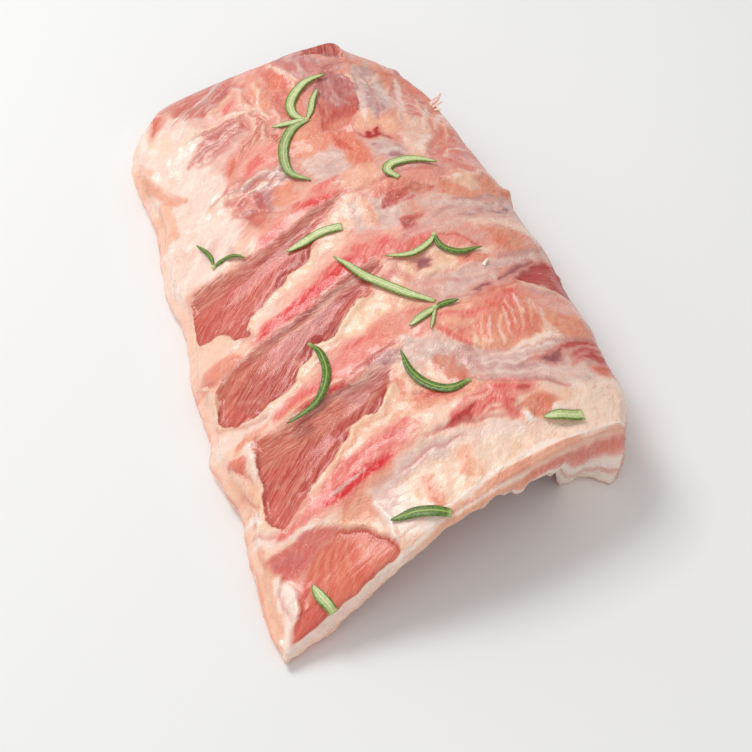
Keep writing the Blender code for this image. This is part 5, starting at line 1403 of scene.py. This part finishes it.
def finish_meat():
    """Raw meat: creamy fat and membrane with fibrous lean showing between them, all of it moist, with painted
    glints on the lean and fat and painted shade in the fat's wrinkles.
    """
    net = Net("raw_pork")
    place = net.place()
    flesh, lean = net.read("flesh").outputs["Color"], net.read("lean_colour").outputs["Color"]
    fibre = net.read("fibre")
    ways = net.put("ShaderNodeSeparateColor", {"Color": fibre.outputs["Color"]})
    crisp, torn_edge = net.read("crisp").outputs["Fac"], net.read("torn").outputs["Fac"]

    wavy = net.bent(place, 9 * MM, 2.6 * MM)
    strands, fine = None, None
    for degrees, way in zip(FIBRE_DEGREES, ("Red", "Green", "Blue")):
        along = net.stretched(wavy, degrees, 10 * MM, 0.95 * MM)
        coarse_part = net.sum(net.noise(along, 1, 3, 0.6), ways.outputs[way], "MULTIPLY")
        along = net.stretched(wavy, degrees + 4, 5 * MM, 0.36 * MM)
        fine_part = net.sum(net.noise(along, 1, 2, 0.6), ways.outputs[way], "MULTIPLY")
        strands = coarse_part if strands is None else net.sum(strands, coarse_part)
        fine = fine_part if fine is None else net.sum(fine, fine_part)

    torn = net.sum(net.ramp(torn_edge, 0.0, 1.0, 1.5, 10.0), net.sum(strands, 0.5, "SUBTRACT"), "MULTIPLY")
    fuzz = net.sum(net.noise(place, 2.4 * MM, 3), 1.4, "MULTIPLY_ADD", -0.7)
    edge = net.sum(net.read("lean_edge").outputs["Fac"], net.sum(fuzz, torn))
    spread = net.ramp(crisp, 0.0, 0.7, 0.95, 0.35)
    bare = net.ramp(edge, net.sum(spread, -1.0, "MULTIPLY"), spread)

    pale = net.mix(0.30, lean, linear(244, 186, 162))
    deep = net.mix(1.0, lean, (0.78, 0.56, 0.54), "MULTIPLY")
    tone_share = net.ramp(net.sum(strands, net.sum(fine, 0.7, "MULTIPLY")), 0.62, 1.08)
    lean = net.mix(fibre.outputs["Alpha"], lean, net.mix(tone_share, deep, pale))
    redder = net.ramp(net.noise(net.stretched(wavy, 30, 9 * MM, 3 * MM), 1, 2), 0.42, 0.66, 0, 0.5)
    lean = net.mix(redder, lean, net.mix(1.0, lean, (0.95, 0.68, 0.66), "MULTIPLY"))
    # Whitish flecks along the lean's fibres: partly marbling, partly painted glints.
    veins_and_glints = net.sum(net.ramp(fine, 0.60, 0.70), net.ramp(net.noise(place, 4 * MM, 3), 0.46, 0.60), "MULTIPLY")
    veins_and_glints = net.sum(veins_and_glints, net.ramp(fibre.outputs["Alpha"], 0.0, 1.0, 0.1, 0.7), "MULTIPLY")
    lean = net.mix(veins_and_glints, lean, linear(252, 210, 192))

    blotch = net.noise(wavy, 6 * MM, 4, 0.6)
    parts = net.put("ShaderNodeSeparateColor", {"Color": flesh}).outputs
    redness = net.sum(parts["Red"], parts["Green"], "SUBTRACT")
    pinkness = net.ramp(redness, 0.30, 0.65, 0.0, 0.75)
    flesh = net.mix(net.ramp(blotch, 0.50, 0.70, 0, 0.22), flesh, linear(240, 150, 130))
    # Milky white specks on the fat: partly the fat's own mottling, partly painted glints.
    milky_and_glints = net.ramp(net.noise(wavy, 4.0 * MM, 4, 0.55), 0.50, 0.68)
    milky_and_glints = net.sum(milky_and_glints, net.ramp(redness, 0.25, 0.5, 0.32, 0.0), "MULTIPLY")
    flesh = net.mix(milky_and_glints, flesh, linear(255, 238, 224))
    threads = net.noise(net.stretched(wavy, 55, 5 * MM, 0.9 * MM), 1, 4, 0.65)
    thready = net.sum(net.ramp(threads, 0.42, 0.66), pinkness, "MULTIPLY")
    flesh = net.mix(thready, flesh, net.mix(1.0, flesh, (0.90, 0.62, 0.58), "MULTIPLY"))
    clear = net.sum(net.ramp(threads, 0.46, 0.34), net.ramp(redness, 0.40, 0.70, 0.0, 0.55), "MULTIPLY")
    flesh = net.mix(clear, flesh, linear(246, 176, 162))
    wrinkles = net.noise(net.stretched(wavy, 24, 8 * MM, 3.6 * MM), 1, 3, 0.6)
    wrinkles = net.sum(net.sum(wrinkles, 0.5, "SUBTRACT"), 0.0, "ABSOLUTE")
    wrinkled = net.ramp(net.noise(place, 11 * MM, 2), 0.42, 0.58)
    fold = net.sum(net.ramp(wrinkles, 0.0, 0.06, 1.0, 0.0), wrinkled, "MULTIPLY")
    # Painted shade: the fat is darkened along its sunk wrinkle folds.
    fold_shade = net.sum(fold, 0.28, "MULTIPLY")
    flesh = net.mix(fold_shade, flesh, net.mix(1.0, flesh, (0.97, 0.78, 0.74), "MULTIPLY"))
    surface = net.mix(bare, flesh, lean)
    sinew = net.sum(net.ramp(edge, -1.1, -0.2), net.ramp(edge, 0.5, -0.1), "MULTIPLY")
    sinew = net.sum(sinew, net.sum(torn_edge, 0.40, "MULTIPLY"), "MULTIPLY")
    surface = net.mix(sinew, surface, linear(249, 218, 200))

    fat_height = net.sum(net.noise(wavy, 3.0 * MM, 3, 0.6), 0.65, "MULTIPLY")
    fat_height = net.sum(fat_height, net.sum(net.noise(place, 0.9 * MM, 2), 0.12, "MULTIPLY"))
    fat_height = net.sum(fat_height, net.sum(threads, 0.18, "MULTIPLY"))
    fat_height = net.sum(fat_height, net.sum(fold, -0.13, "MULTIPLY"))
    lean_height = net.sum(strands, 0.55, "MULTIPLY_ADD", net.sum(fine, 0.22, "MULTIPLY"))
    height = net.put("ShaderNodeMix", {0: bare, 2: fat_height, 3: lean_height}, data_type="FLOAT").outputs[0]
    bump = net.put("ShaderNodeBump", {"Height": height, "Distance": MM, "Strength": 0.9})
    gloss = net.ramp(net.noise(place, 3.5 * MM, 2), 0.3, 0.7, 0.20, 0.42)
    net.feed(net.shader, {
        "Base Color": surface, "Roughness": gloss, "Normal": bump.outputs["Normal"],
        "Specular IOR Level": 0.4, "Subsurface Weight": 0.1, "Subsurface Radius": (1.0, 0.38, 0.22),
        "Subsurface Scale": 0.0015,
        "Coat Weight": 0.35, "Coat Roughness": 0.12,
    })
    return net.material


# ---------------------------------------------------------------------------------------------------------
# Loose shreds.

# Each shred: tissue, width, and its line as plan places with heights over the meat at its first place.
LOOSE_SHREDS = [
    ("pale veil", 2.8, [(52.6, 78.6, -1), (55.6, 80.0, 0.2), (57.6, 81.0, 0.8), (58.9, 82.4, 1.4)]),
    ("cream fat", 1.9, [(53.2, 77.6, -1), (56, 78.2, 0.1), (58.4, 78.2, 0.8)]),
    ("cream fat", 1.5, [(53.2, 75.4, -1), (55.4, 75.2, 0), (56.4, 74.2, 0.2)]),
    ("cream fat", 2.2, [(-62.4, -29.8, -0.6), (-65.4, -29.6, -0.4), (-67.2, -29.2, 0.2)]),
    ("bright fat", 1.5, [(37.2, -25.2, 0.2), (38.4, -23.9, 0.7), (39.7, -22.7, 0.5)]),
    ("bright fat", 3.4, [(-62.6, -128.4, -1.2), (-62.8, -131.6, -1.4), (-62.4, -134.4, -2.6)]),
]
SHRED_SIDES, SHRED_RINGS = 10, 12
SHRED_FLATNESS, SHRED_TAPER = 0.34, 0.8
# A shred or leaf starts as a rod far wider than the rack, so its corners stand out from those laid.
ROD_RADIUS = 1
# A height in metres to look down from for the top of the rack.
WELL_ABOVE = 0.2


class Surface:
    """The top of the rack, for laying shreds and leaves on."""

    def __init__(self, rack):
        self.tree = BVHTree.FromObject(rack, bpy.context.evaluated_depsgraph_get())

    def height(self, x, y):
        """Height in millimetres under a plan point, or None beside the rack."""
        hit = self.tree.ray_cast(Vector((x * MM, y * MM, WELL_ABOVE)), Vector((0, 0, -1)))[0]
        return None if hit is None else hit.z / MM


def laid_rod(bm, sides, rings):
    """A rod of many rings, as its corners, each with the number of its ring."""
    bmesh.ops.create_cone(bm, cap_ends=True, cap_tris=False, segments=sides, radius1=ROD_RADIUS,
                          radius2=ROD_RADIUS, depth=1)
    edges = [e for e in bm.edges if abs(e.verts[0].co.z - e.verts[1].co.z) > 0.5]
    bmesh.ops.subdivide_edges(bm, edges=edges, cuts=rings - 1, use_grid_fill=True)
    corners = [v for v in bm.verts if v.co.xy.length > ROD_RADIUS / 2]
    return [(v, min(rings, max(0, round((v.co.z + 0.5) * rings)))) for v in corners]


def way_ahead(line):
    """The direction of a line on the plan at each of its points."""
    ahead = np.gradient(line[:, :2], axis=0)
    return ahead / np.linalg.norm(ahead, axis=1)[:, None]


def build_shred(bm, layer, surface, name, width, points):
    """One shred: a rod laid along its line, flat, uneven and narrow at the tip."""
    rings = np.linspace(0, 1, SHRED_RINGS + 1)
    line = curve(points, rings) + np.array([*PLAN_SHIFT, 0])
    base = surface.height(line[0, 0], line[0, 1]) or 0
    ahead = way_ahead(line)
    half = width / 2 * (1 - SHRED_TAPER * rings ** 1.5) * (1 + 0.2 * ripple(rings * 5, line[:, 0], 1, 91))
    for vert, ring in laid_rod(bm, SHRED_SIDES, SHRED_RINGS):
        side, top = vert.co.x / ROD_RADIUS * half[ring], vert.co.y / ROD_RADIUS * half[ring] * SHRED_FLATNESS
        vert.co = Vector((line[ring, 0] - ahead[ring, 1] * side, line[ring, 1] + ahead[ring, 0] * side,
                          base + line[ring, 2] + top)) * MM
        vert[layer] = (*tone(name), 1.0)


def make_shreds(rack):
    """The loose shreds, in the meat's own finish."""
    surface = Surface(rack)
    bm = bmesh.new()
    layer = bm.verts.layers.float_color.new("flesh")
    for name, width, points in LOOSE_SHREDS:
        build_shred(bm, layer, surface, name, width, points)
    bmesh.ops.recalc_face_normals(bm, faces=bm.faces)
    shreds = mesh_object("rack_shreds", bm, rack.data.materials[0])
    count = len(shreds.data.vertices)
    store(shreds.data, "lean_edge", "FLOAT", np.full(count, -EDGE_REACH))
    for name in ("lean_colour", "fibre"):
        store(shreds.data, name, "FLOAT_COLOR", np.zeros((count, 4)))
    for name in ("crisp", "torn"):
        store(shreds.data, name, "FLOAT", np.zeros(count))
    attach(shreds, "root")


# ---------------------------------------------------------------------------------------------------------
# Rosemary.

BASE_WIDTH = 0.45
TIP_WIDTH = 0.14
# Each leaf: path from base to tip in plan millimetres, width, width at the base as a share, how far its tip
# lifts in mm, and how much of its pale underside shows: 0 lies top up, 1 lies underside up.
SPRIGS = {
    "rosemary_tip_of_four": [
        ([(0.4, 69), (-3, 76), (-2, 84), (5, 91.5), (14.5, 93.5)], 4.0, BASE_WIDTH, 0.8, 1),
        ([(0.4, 69), (3.5, 75), (6, 81), (9.6, 87)], 2.6, BASE_WIDTH, 1.2, 1),
        ([(0.4, 69), (-3, 70.2), (-7, 71.7), (-12.3, 73)], 3.0, BASE_WIDTH, 0.4, 1),
        ([(0.4, 69), (-6.7, 65.6), (-12.2, 57), (-13.2, 45), (-7.3, 36.6)], 4.0, BASE_WIDTH, 0.5, 0.6),
    ],
    "rosemary_hook": [([(21.5, 22.6), (18.6, 27), (21.5, 29.7), (29, 29.3), (37.1, 25.9)], 3.8, 0.6, 0.8, 1)],
    "rosemary_straight_cut": [([(-3.4, 10), (-10, 10.8), (-17, 10.6), (-24, 9.7)], 3.8, 1.0, 0.3, 1)],
    "rosemary_fork_left": [
        ([(-49, 17.8), (-48.8, 23), (-50, 28), (-51.8, 32.5)], 1.8, BASE_WIDTH, 0.6, 0),
        ([(-49, 17.8), (-45.8, 18.3), (-41.8, 16.8), (-38.1, 13.5)], 1.8, BASE_WIDTH, 0.6, 0),
    ],
    "rosemary_fork_right": [
        ([(24.6, -8.4), (21, -11.3), (14, -13.6), (5.7, -11.8)], 2.6, BASE_WIDTH, 0.6, 1),
        ([(24.6, -8.4), (25.6, -13.4), (31, -17.6), (39, -17.6)], 2.6, BASE_WIDTH, 0.6, 0),
    ],
    "rosemary_long": [
        ([(15.7, -36.2), (7.6, -28.7), (0.6, -20.6), (-5.5, -13), (-10.6, -4)], 3.9, BASE_WIDTH, 0.6, 1),
    ],
    "rosemary_small_sprig": [
        ([(14.5, -40), (11, -41.5), (7.5, -43.2), (3.8, -44.7)], 3.0, 0.7, 0.4, 1),
        ([(14.5, -40), (17.5, -39.4), (20, -39.3), (23, -39.6)], 2.4, 0.7, 0.8, 0),
        ([(14.5, -40), (13, -43), (11.5, -46), (10, -48.8)], 1.4, 0.8, 0.4, 1),
    ],
    "rosemary_bow_left": [
        ([(-27.8, -33), (-25.7, -41), (-26.8, -51), (-32, -58.5), (-43.5, -61.8)], 3.0, 0.5, 0.5, 0),
    ],
    "rosemary_bow_right": [([(16, -72), (9, -73), (3, -68.5), (-1, -61), (-1.8, -53)], 3.4, 0.5, 1.0, 0)],
    "rosemary_cut_tip": [([(47.7, -93.3), (43.4, -93), (39, -92.4), (34.4, -91.6)], 4.4, 1.0, 0.3, 1)],
    "rosemary_at_near_cut": [
        ([(-4.4, -114.8), (-9.6, -112.2), (-15.5, -110.1), (-22.6, -109.3)], 4.2, 0.8, 0.3, 0),
    ],
    "rosemary_short_tip": [
        ([(-46.6, -128.4), (-48.2, -125), (-49.5, -121.4), (-50.2, -117.2)], 4.0, 0.9, 0.3, 1),
    ],
}
LEAF_SIDES, LEAF_RINGS = 20, 40
LEAF_THICK, LEAF_GAP = 0.85, 0.25
STEM_RADIUS = 0.9
# The height in a leaf's section that stands for its full thickness.
SECTION_HIGH = 0.75
# How often a leaf's bed is eased, and the share of it, in hundredths, that clears the meat after that.
EASINGS, CLEAR = 14, 85


def leaf_width(share, base_width):
    """Half width of a leaf, as a share of its widest: full in the middle, narrow at the tip."""
    rise = base_width + (1 - base_width) * smooth(0, 0.3, share)
    return rise * (TIP_WIDTH + (1 - TIP_WIDTH) * np.sqrt(np.maximum(0, 1 - smooth(0.45, 1.0, share) ** 2)))


def leaf_bed(surface, line, sideways, lift):
    """Heights that a leaf lies at, along its middle: it bridges small hollows and its tip lifts."""
    count = len(line)
    heights = []
    for place, half in zip(line, sideways):
        found = [surface.height(*(place + half * s)) for s in (-1, -0.5, 0, 0.5, 1)]
        known = [h for h in found if h is not None]
        heights.append(max(known) if known else None)
    for i in range(count - 2, -1, -1):
        if heights[i] is None:
            heights[i] = heights[i + 1]
    for i in range(1, count):
        if heights[i] is None:
            heights[i] = heights[i - 1]
    heights = np.array(heights)
    eased = heights.copy()
    for _ in range(EASINGS):
        padded = np.concatenate([eased[:1], eased, eased[-1:]])
        eased = (padded[:-2] + padded[1:-1] + padded[2:]) / 3
    eased = eased + max(0.0, float(np.percentile(heights - eased, CLEAR)))
    return eased + LEAF_GAP + lift * np.linspace(0, 1, count) ** 2


def leaf_section(turn, underside):
    """Outline of a leaf across its length: how far sideways and upwards, in half widths."""
    side, top = np.cos(turn), np.sin(turn)
    if underside:
        rolled = 0.30 * np.exp(-((np.abs(side) - 0.74) / 0.26) ** 2) + 0.20 * np.exp(-(side / 0.16) ** 2)
        height = np.where(top > 0, top * 0.10 + rolled * np.minimum(1, top * 3), top * 0.30)
    else:
        groove = 0.18 * np.exp(-(side / 0.14) ** 2)
        height = np.where(top > 0, top * 0.42 - groove * np.minimum(1, top * 2), top * 0.16)
    return side, height + 0.16


def build_leaf(bm, layer, surface, points, width, base_width, lift, underside):
    """One leaf in a sprig's mesh: a rod of many rings laid along its path and given a leaf's section."""
    rings = np.linspace(0, 1, LEAF_RINGS + 1)
    line = curve(points, rings) + PLAN_SHIFT
    ahead = way_ahead(line)
    left = np.stack([-ahead[:, 1], ahead[:, 0]], 1)
    half = leaf_width(rings, base_width) * width / 2
    bed = leaf_bed(surface, line, left * half[:, None], lift)
    for vert, ring in laid_rod(bm, LEAF_SIDES, LEAF_RINGS):
        side, height = leaf_section(math.atan2(vert.co.y, vert.co.x), underside)
        plump = LEAF_THICK / SECTION_HIGH * (0.55 + 0.45 * half[ring] / (width / 2))
        place = line[ring] + left[ring] * half[ring] * side
        vert.co = Vector((place[0], place[1], bed[ring] + max(0.0, float(height)) * plump)) * MM
        vert[layer] = (ring / LEAF_RINGS, 0.5 + 0.5 * float(side), float(underside), 1.0)


def build_sprig(name, leaves, surface, finish):
    """The leaves of one sprig and, where it has several, the bead of stem that they spring from."""
    bm = bmesh.new()
    layer = bm.verts.layers.float_color.new("leaf")
    for points, width, base_width, lift, underside in leaves:
        build_leaf(bm, layer, surface, points, width, base_width, lift, underside)
    if len(leaves) > 1:
        joint = np.array(leaves[0][0][0]) + PLAN_SHIFT
        foot = surface.height(*joint) or 0
        made = bmesh.ops.create_uvsphere(bm, u_segments=16, v_segments=10, radius=STEM_RADIUS * MM)
        for vert in made["verts"]:
            vert.co += Vector((joint[0], joint[1], foot + STEM_RADIUS * 0.9)) * MM
            vert[layer] = (0.0, 0.5, 1.0, 1.0)
    bmesh.ops.recalc_face_normals(bm, faces=bm.faces)
    sprig = mesh_object(f"{name}_leaves", bm, finish)
    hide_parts(name)
    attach(sprig, "root")


def finish_rosemary():
    """Rosemary: dark glossy green above with a groove, felted and pale below between rolled margins."""
    net = Net("rosemary_leaf")
    place = net.place()
    parts = net.put("ShaderNodeSeparateColor", {"Color": net.read("leaf").outputs["Color"]})
    along, across, underside = (parts.outputs[k] for k in ("Red", "Green", "Blue"))
    off_middle = net.sum(net.sum(across, 2.0, "MULTIPLY_ADD", -1.0), 0.0, "ABSOLUTE")
    grain = net.noise(place, 0.9 * MM, 3)
    wander_in = net.sum(off_middle, net.sum(grain, 0.14, "MULTIPLY_ADD", -0.07))
    top = net.mix(net.ramp(grain, 0.3, 0.8), linear(60, 92, 24), linear(122, 150, 56))
    top = net.mix(net.ramp(wander_in, 0.20, 0.04), top, linear(164, 186, 88))
    felt = net.mix(net.ramp(grain, 0.3, 0.75), linear(174, 190, 118), linear(216, 222, 168))
    felt = net.mix(net.ramp(wander_in, 0.14, 0.05), felt, linear(228, 232, 188))
    margin = net.mix(net.ramp(grain, 0.3, 0.8), linear(90, 120, 36), linear(142, 164, 66))
    below = net.mix(net.ramp(wander_in, 0.58, 0.76), felt, margin)
    colour = net.mix(underside, top, below)
    colour = net.mix(net.ramp(along, 0.10, 0.0, 0, 0.7), colour, linear(190, 200, 130))
    colour = net.mix(net.ramp(along, 0.94, 1.0, 0, 0.5), colour, linear(110, 120, 50))
    ridges = net.noise(place, 0.45 * MM, 2)
    bump = net.put("ShaderNodeBump", {"Height": ridges, "Distance": 0.12 * MM, "Strength": 0.7})
    gloss = net.ramp(wander_in, 0.1, 0.6, 0.55, 0.36)
    net.feed(net.shader, {
        "Base Color": colour, "Roughness": gloss, "Normal": bump.outputs["Normal"], "Specular IOR Level": 0.5,
        "Subsurface Weight": 0.08, "Subsurface Radius": (0.4, 1.0, 0.2), "Subsurface Scale": 0.0008,
        "Coat Weight": 0.1, "Coat Roughness": 0.25,
    })
    return net.material


# ---------------------------------------------------------------------------------------------------------
# Settings, operators and panel.

class RackSettings(bpy.types.PropertyGroup):
    """Fineness of the rack's skin."""

    cells_across: IntProperty(name="Cells across", description="Cells from the breast edge to the chine edge",
                              default=92, min=10)
    cells_along: IntProperty(name="Cells along", description="Cells from the near cut to the far cut",
                             default=176, min=10)
    cells_high: IntProperty(name="Cells high", description="Cells from the underside to the top",
                            default=20, min=3)


class StageSettings(bpy.types.PropertyGroup):
    """Floor, lights and camera."""

    floor_colour: FloatVectorProperty(name="Floor colour", description="Colour of the floor", size=3,
                                      subtype="COLOR", default=(0.86, 0.86, 0.85))
    key_power: FloatProperty(name="Key light", description="Power of the light from the back left",
                             default=8.5, min=0, subtype="POWER")
    fill_power: FloatProperty(name="Fill light", description="Power of the light from the front left",
                              default=3.5, min=0, subtype="POWER")
    sky: FloatProperty(name="Surroundings", description="Brightness of the surroundings", default=0.5, min=0)
    elevation: FloatProperty(name="Elevation", description="How far the camera looks down",
                             default=math.radians(50.435), subtype="ANGLE")
    heading: FloatProperty(name="Heading", description="How far the camera looks to the right of +Y",
                           default=math.radians(19.76), subtype="ANGLE")
    roll: FloatProperty(name="Roll", description="How far the camera leans", default=math.radians(3.256),
                        subtype="ANGLE")
    distance: FloatProperty(name="Distance", description="From the camera to the point it looks at",
                            default=0.5841, subtype="DISTANCE", unit="LENGTH")
    lens: FloatProperty(name="Lens", description="Focal length in millimetres", default=81.51)


# The point that the camera looks at, in millimetres, and the two lights in metres: size and place.
LOOK_AT = (-8.0, -39.4, 22.0)
SENSOR_WIDTH = 36
KEY_LIGHT = (0.55, (-0.45, 0.55, 1.05))
FILL_LIGHT = (1.2, (-0.5, -0.9, 1.0))
LIT_POINT = (0, 0, 0.02)
FLOOR_HALF = 3
# A corner of the grid's box this near to a side counts as on it.
GRID_SNAP = 1e-5


def make_rack(settings):
    """The rack's skin, its attributes and its finish."""
    bm = box_of_cells((settings.cells_across, settings.cells_along, settings.cells_high))
    rack = mesh_object("rack_meat", bm, finish_meat())
    mesh = rack.data
    box = np.empty(len(mesh.vertices) * 3, np.float32)
    mesh.vertices.foreach_get("co", box)
    across, along, up = np.clip(box.reshape(-1, 3).T.astype(float) + 0.5, 0, 1)
    across, along, up = (
        np.where(v < GRID_SNAP, 0, np.where(v > 1 - GRID_SNAP, 1, v)) for v in (across, along, up))
    place, x, y, tissue = rack_places(across, along, up)
    out_x, out_y = side_relief(across, along, up, x, y, place[:, 2])
    place[:, 0] += out_x
    place[:, 1] += out_y
    mesh.vertices.foreach_set("co", (place * MM).astype(np.float32).ravel())
    mesh.update()
    top = smooth(*TOP_TURN, up)
    flesh = side_colour(tissue.flesh, across, along, up, x, y, place[:, 2])
    store(mesh, "flesh", "FLOAT_COLOR", with_alpha(flesh))
    edge = np.clip(tissue.edge, -EDGE_REACH, EDGE_REACH) * top - EDGE_REACH * (1 - top)
    store(mesh, "lean_edge", "FLOAT", edge)
    store(mesh, "lean_colour", "FLOAT_COLOR", with_alpha(tissue.lean))
    store(mesh, "fibre", "FLOAT_COLOR", with_alpha(tissue.fibre, tissue.strength))
    store(mesh, "crisp", "FLOAT", tissue.crisp)
    store(mesh, "torn", "FLOAT", tissue.torn)
    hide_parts("rack")
    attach(rack, "root")
    return rack


def made_rack(context):
    """The rack's skin, which the shreds and the rosemary lie on."""
    rack = bpy.data.objects.get("rack_meat")
    if rack is None:
        raise RuntimeError("the shreds and the rosemary lie on the rack, so the rack is made first")
    context.view_layer.update()
    return rack


class RIBS_OT_rack(bpy.types.Operator):
    """Makes the rack's skin with its fat, lean and cut sides"""

    bl_idname = "ribs.rack"
    bl_label = "Rack"

    def execute(self, context):
        make_rack(context.scene.ribs_rack)
        return {"FINISHED"}


class RIBS_OT_shreds(bpy.types.Operator):
    """Adds the loose shreds of fat at the rack's edges and on its top"""

    bl_idname = "ribs.shreds"
    bl_label = "Shreds"

    def execute(self, context):
        make_shreds(made_rack(context))
        return {"FINISHED"}


class RIBS_OT_rosemary(bpy.types.Operator):
    """Lays the sprigs and loose leaves of rosemary on the rack"""

    bl_idname = "ribs.rosemary"
    bl_label = "Rosemary"

    def execute(self, context):
        surface, finish = Surface(made_rack(context)), finish_rosemary()
        for name, leaves in SPRIGS.items():
            build_sprig(name, leaves, surface, finish)
        return {"FINISHED"}


def finish_floor(colour):
    """A pale, smooth floor."""
    net = Net("pale_floor")
    cloud = net.noise(net.place(), 0.6, 2)
    shade = net.mix(net.ramp(cloud, 0.3, 0.7, 0, 0.15), tuple(colour), tuple(c * 0.97 for c in colour))
    net.feed(net.shader, {"Base Color": shade, "Roughness": 0.7})
    return net.material


def area_light(name, power, size, place, target):
    """A soft square light that faces a point."""
    lamp = bpy.data.lights.new(name, "AREA")
    lamp.energy = power
    lamp.size = size
    light = bpy.data.objects.new(name, lamp)
    light.location = place
    light.rotation_euler = (Vector(target) - Vector(place)).to_track_quat("-Z", "Y").to_euler()
    bpy.context.scene.collection.objects.link(light)


def make_camera(settings):
    """The camera, level with its heading but for a little roll."""
    flat = Vector((math.sin(settings.heading), math.cos(settings.heading), 0))
    forward = flat * math.cos(settings.elevation) - Vector((0, 0, math.sin(settings.elevation)))
    right = forward.cross(Vector((0, 0, 1))).normalized()
    over = right.cross(forward)
    c, s = math.cos(settings.roll), math.sin(settings.roll)
    right, over = right * c + over * s, over * c - right * s
    data = bpy.data.cameras.new("camera")
    data.sensor_width = SENSOR_WIDTH
    data.lens = settings.lens
    camera = bpy.data.objects.new("camera", data)
    place = Vector(LOOK_AT) * MM - forward * settings.distance
    turn = Matrix((right, over, -forward)).transposed().to_4x4()
    camera.matrix_world = Matrix.Translation(place) @ turn
    bpy.context.scene.collection.objects.link(camera)
    bpy.context.scene.camera = camera


class RIBS_OT_stage(bpy.types.Operator):
    """Sets the floor, the lights and the camera"""

    bl_idname = "ribs.stage"
    bl_label = "Stage"

    def execute(self, context):
        settings = context.scene.ribs_stage
        bm = bmesh.new()
        bmesh.ops.create_grid(bm, x_segments=8, y_segments=8, size=FLOOR_HALF)
        floor = mesh_object("floor", bm, finish_floor(settings.floor_colour))
        area_light("key", settings.key_power, *KEY_LIGHT, LIT_POINT)
        area_light("fill", settings.fill_power, *FILL_LIGHT, LIT_POINT)
        world = bpy.data.worlds.new("surroundings")
        world.use_nodes = True
        world.node_tree.nodes["Background"].inputs["Color"].default_value = (1, 1, 1, 1)
        world.node_tree.nodes["Background"].inputs["Strength"].default_value = settings.sky
        context.scene.world = world
        context.scene.view_settings.view_transform = "Standard"
        make_camera(settings)
        return {"FINISHED"}


class RIBS_PT_panel(bpy.types.Panel):
    """Lists the pieces of the rack of ribs"""

    bl_label = "Rack of ribs"
    bl_idname = "RIBS_PT_panel"
    bl_space_type = "VIEW_3D"
    bl_region_type = "UI"
    bl_category = "Ribs"

    def draw(self, context):
        layout = self.layout
        for group, operators in (("ribs_rack", ("ribs.rack", "ribs.shreds", "ribs.rosemary")),
                                 ("ribs_stage", ("ribs.stage",))):
            settings = getattr(context.scene, group)
            for key in settings.bl_rna.properties.keys():
                if key not in ("rna_type", "name"):
                    layout.prop(settings, key)
            for operator in operators:
                layout.operator(operator)


CLASSES = (RackSettings, StageSettings, RIBS_OT_rack, RIBS_OT_shreds, RIBS_OT_rosemary, RIBS_OT_stage,
           RIBS_PT_panel)


def register():
    """Makes the settings, operators and panel known."""
    for made in CLASSES:
        bpy.utils.register_class(made)
    bpy.types.Scene.ribs_rack = PointerProperty(type=RackSettings)
    bpy.types.Scene.ribs_stage = PointerProperty(type=StageSettings)


def unregister():
    """Takes them out again."""
    del bpy.types.Scene.ribs_rack
    del bpy.types.Scene.ribs_stage
    for made in reversed(CLASSES):
        bpy.utils.unregister_class(made)


def main():
    """Registers the add-on and makes every piece."""
    register()
    bpy.ops.ribs.stage()
    bpy.ops.ribs.rack()
    bpy.ops.ribs.shreds()
    bpy.ops.ribs.rosemary()


if __name__ == "__main__":
    main()
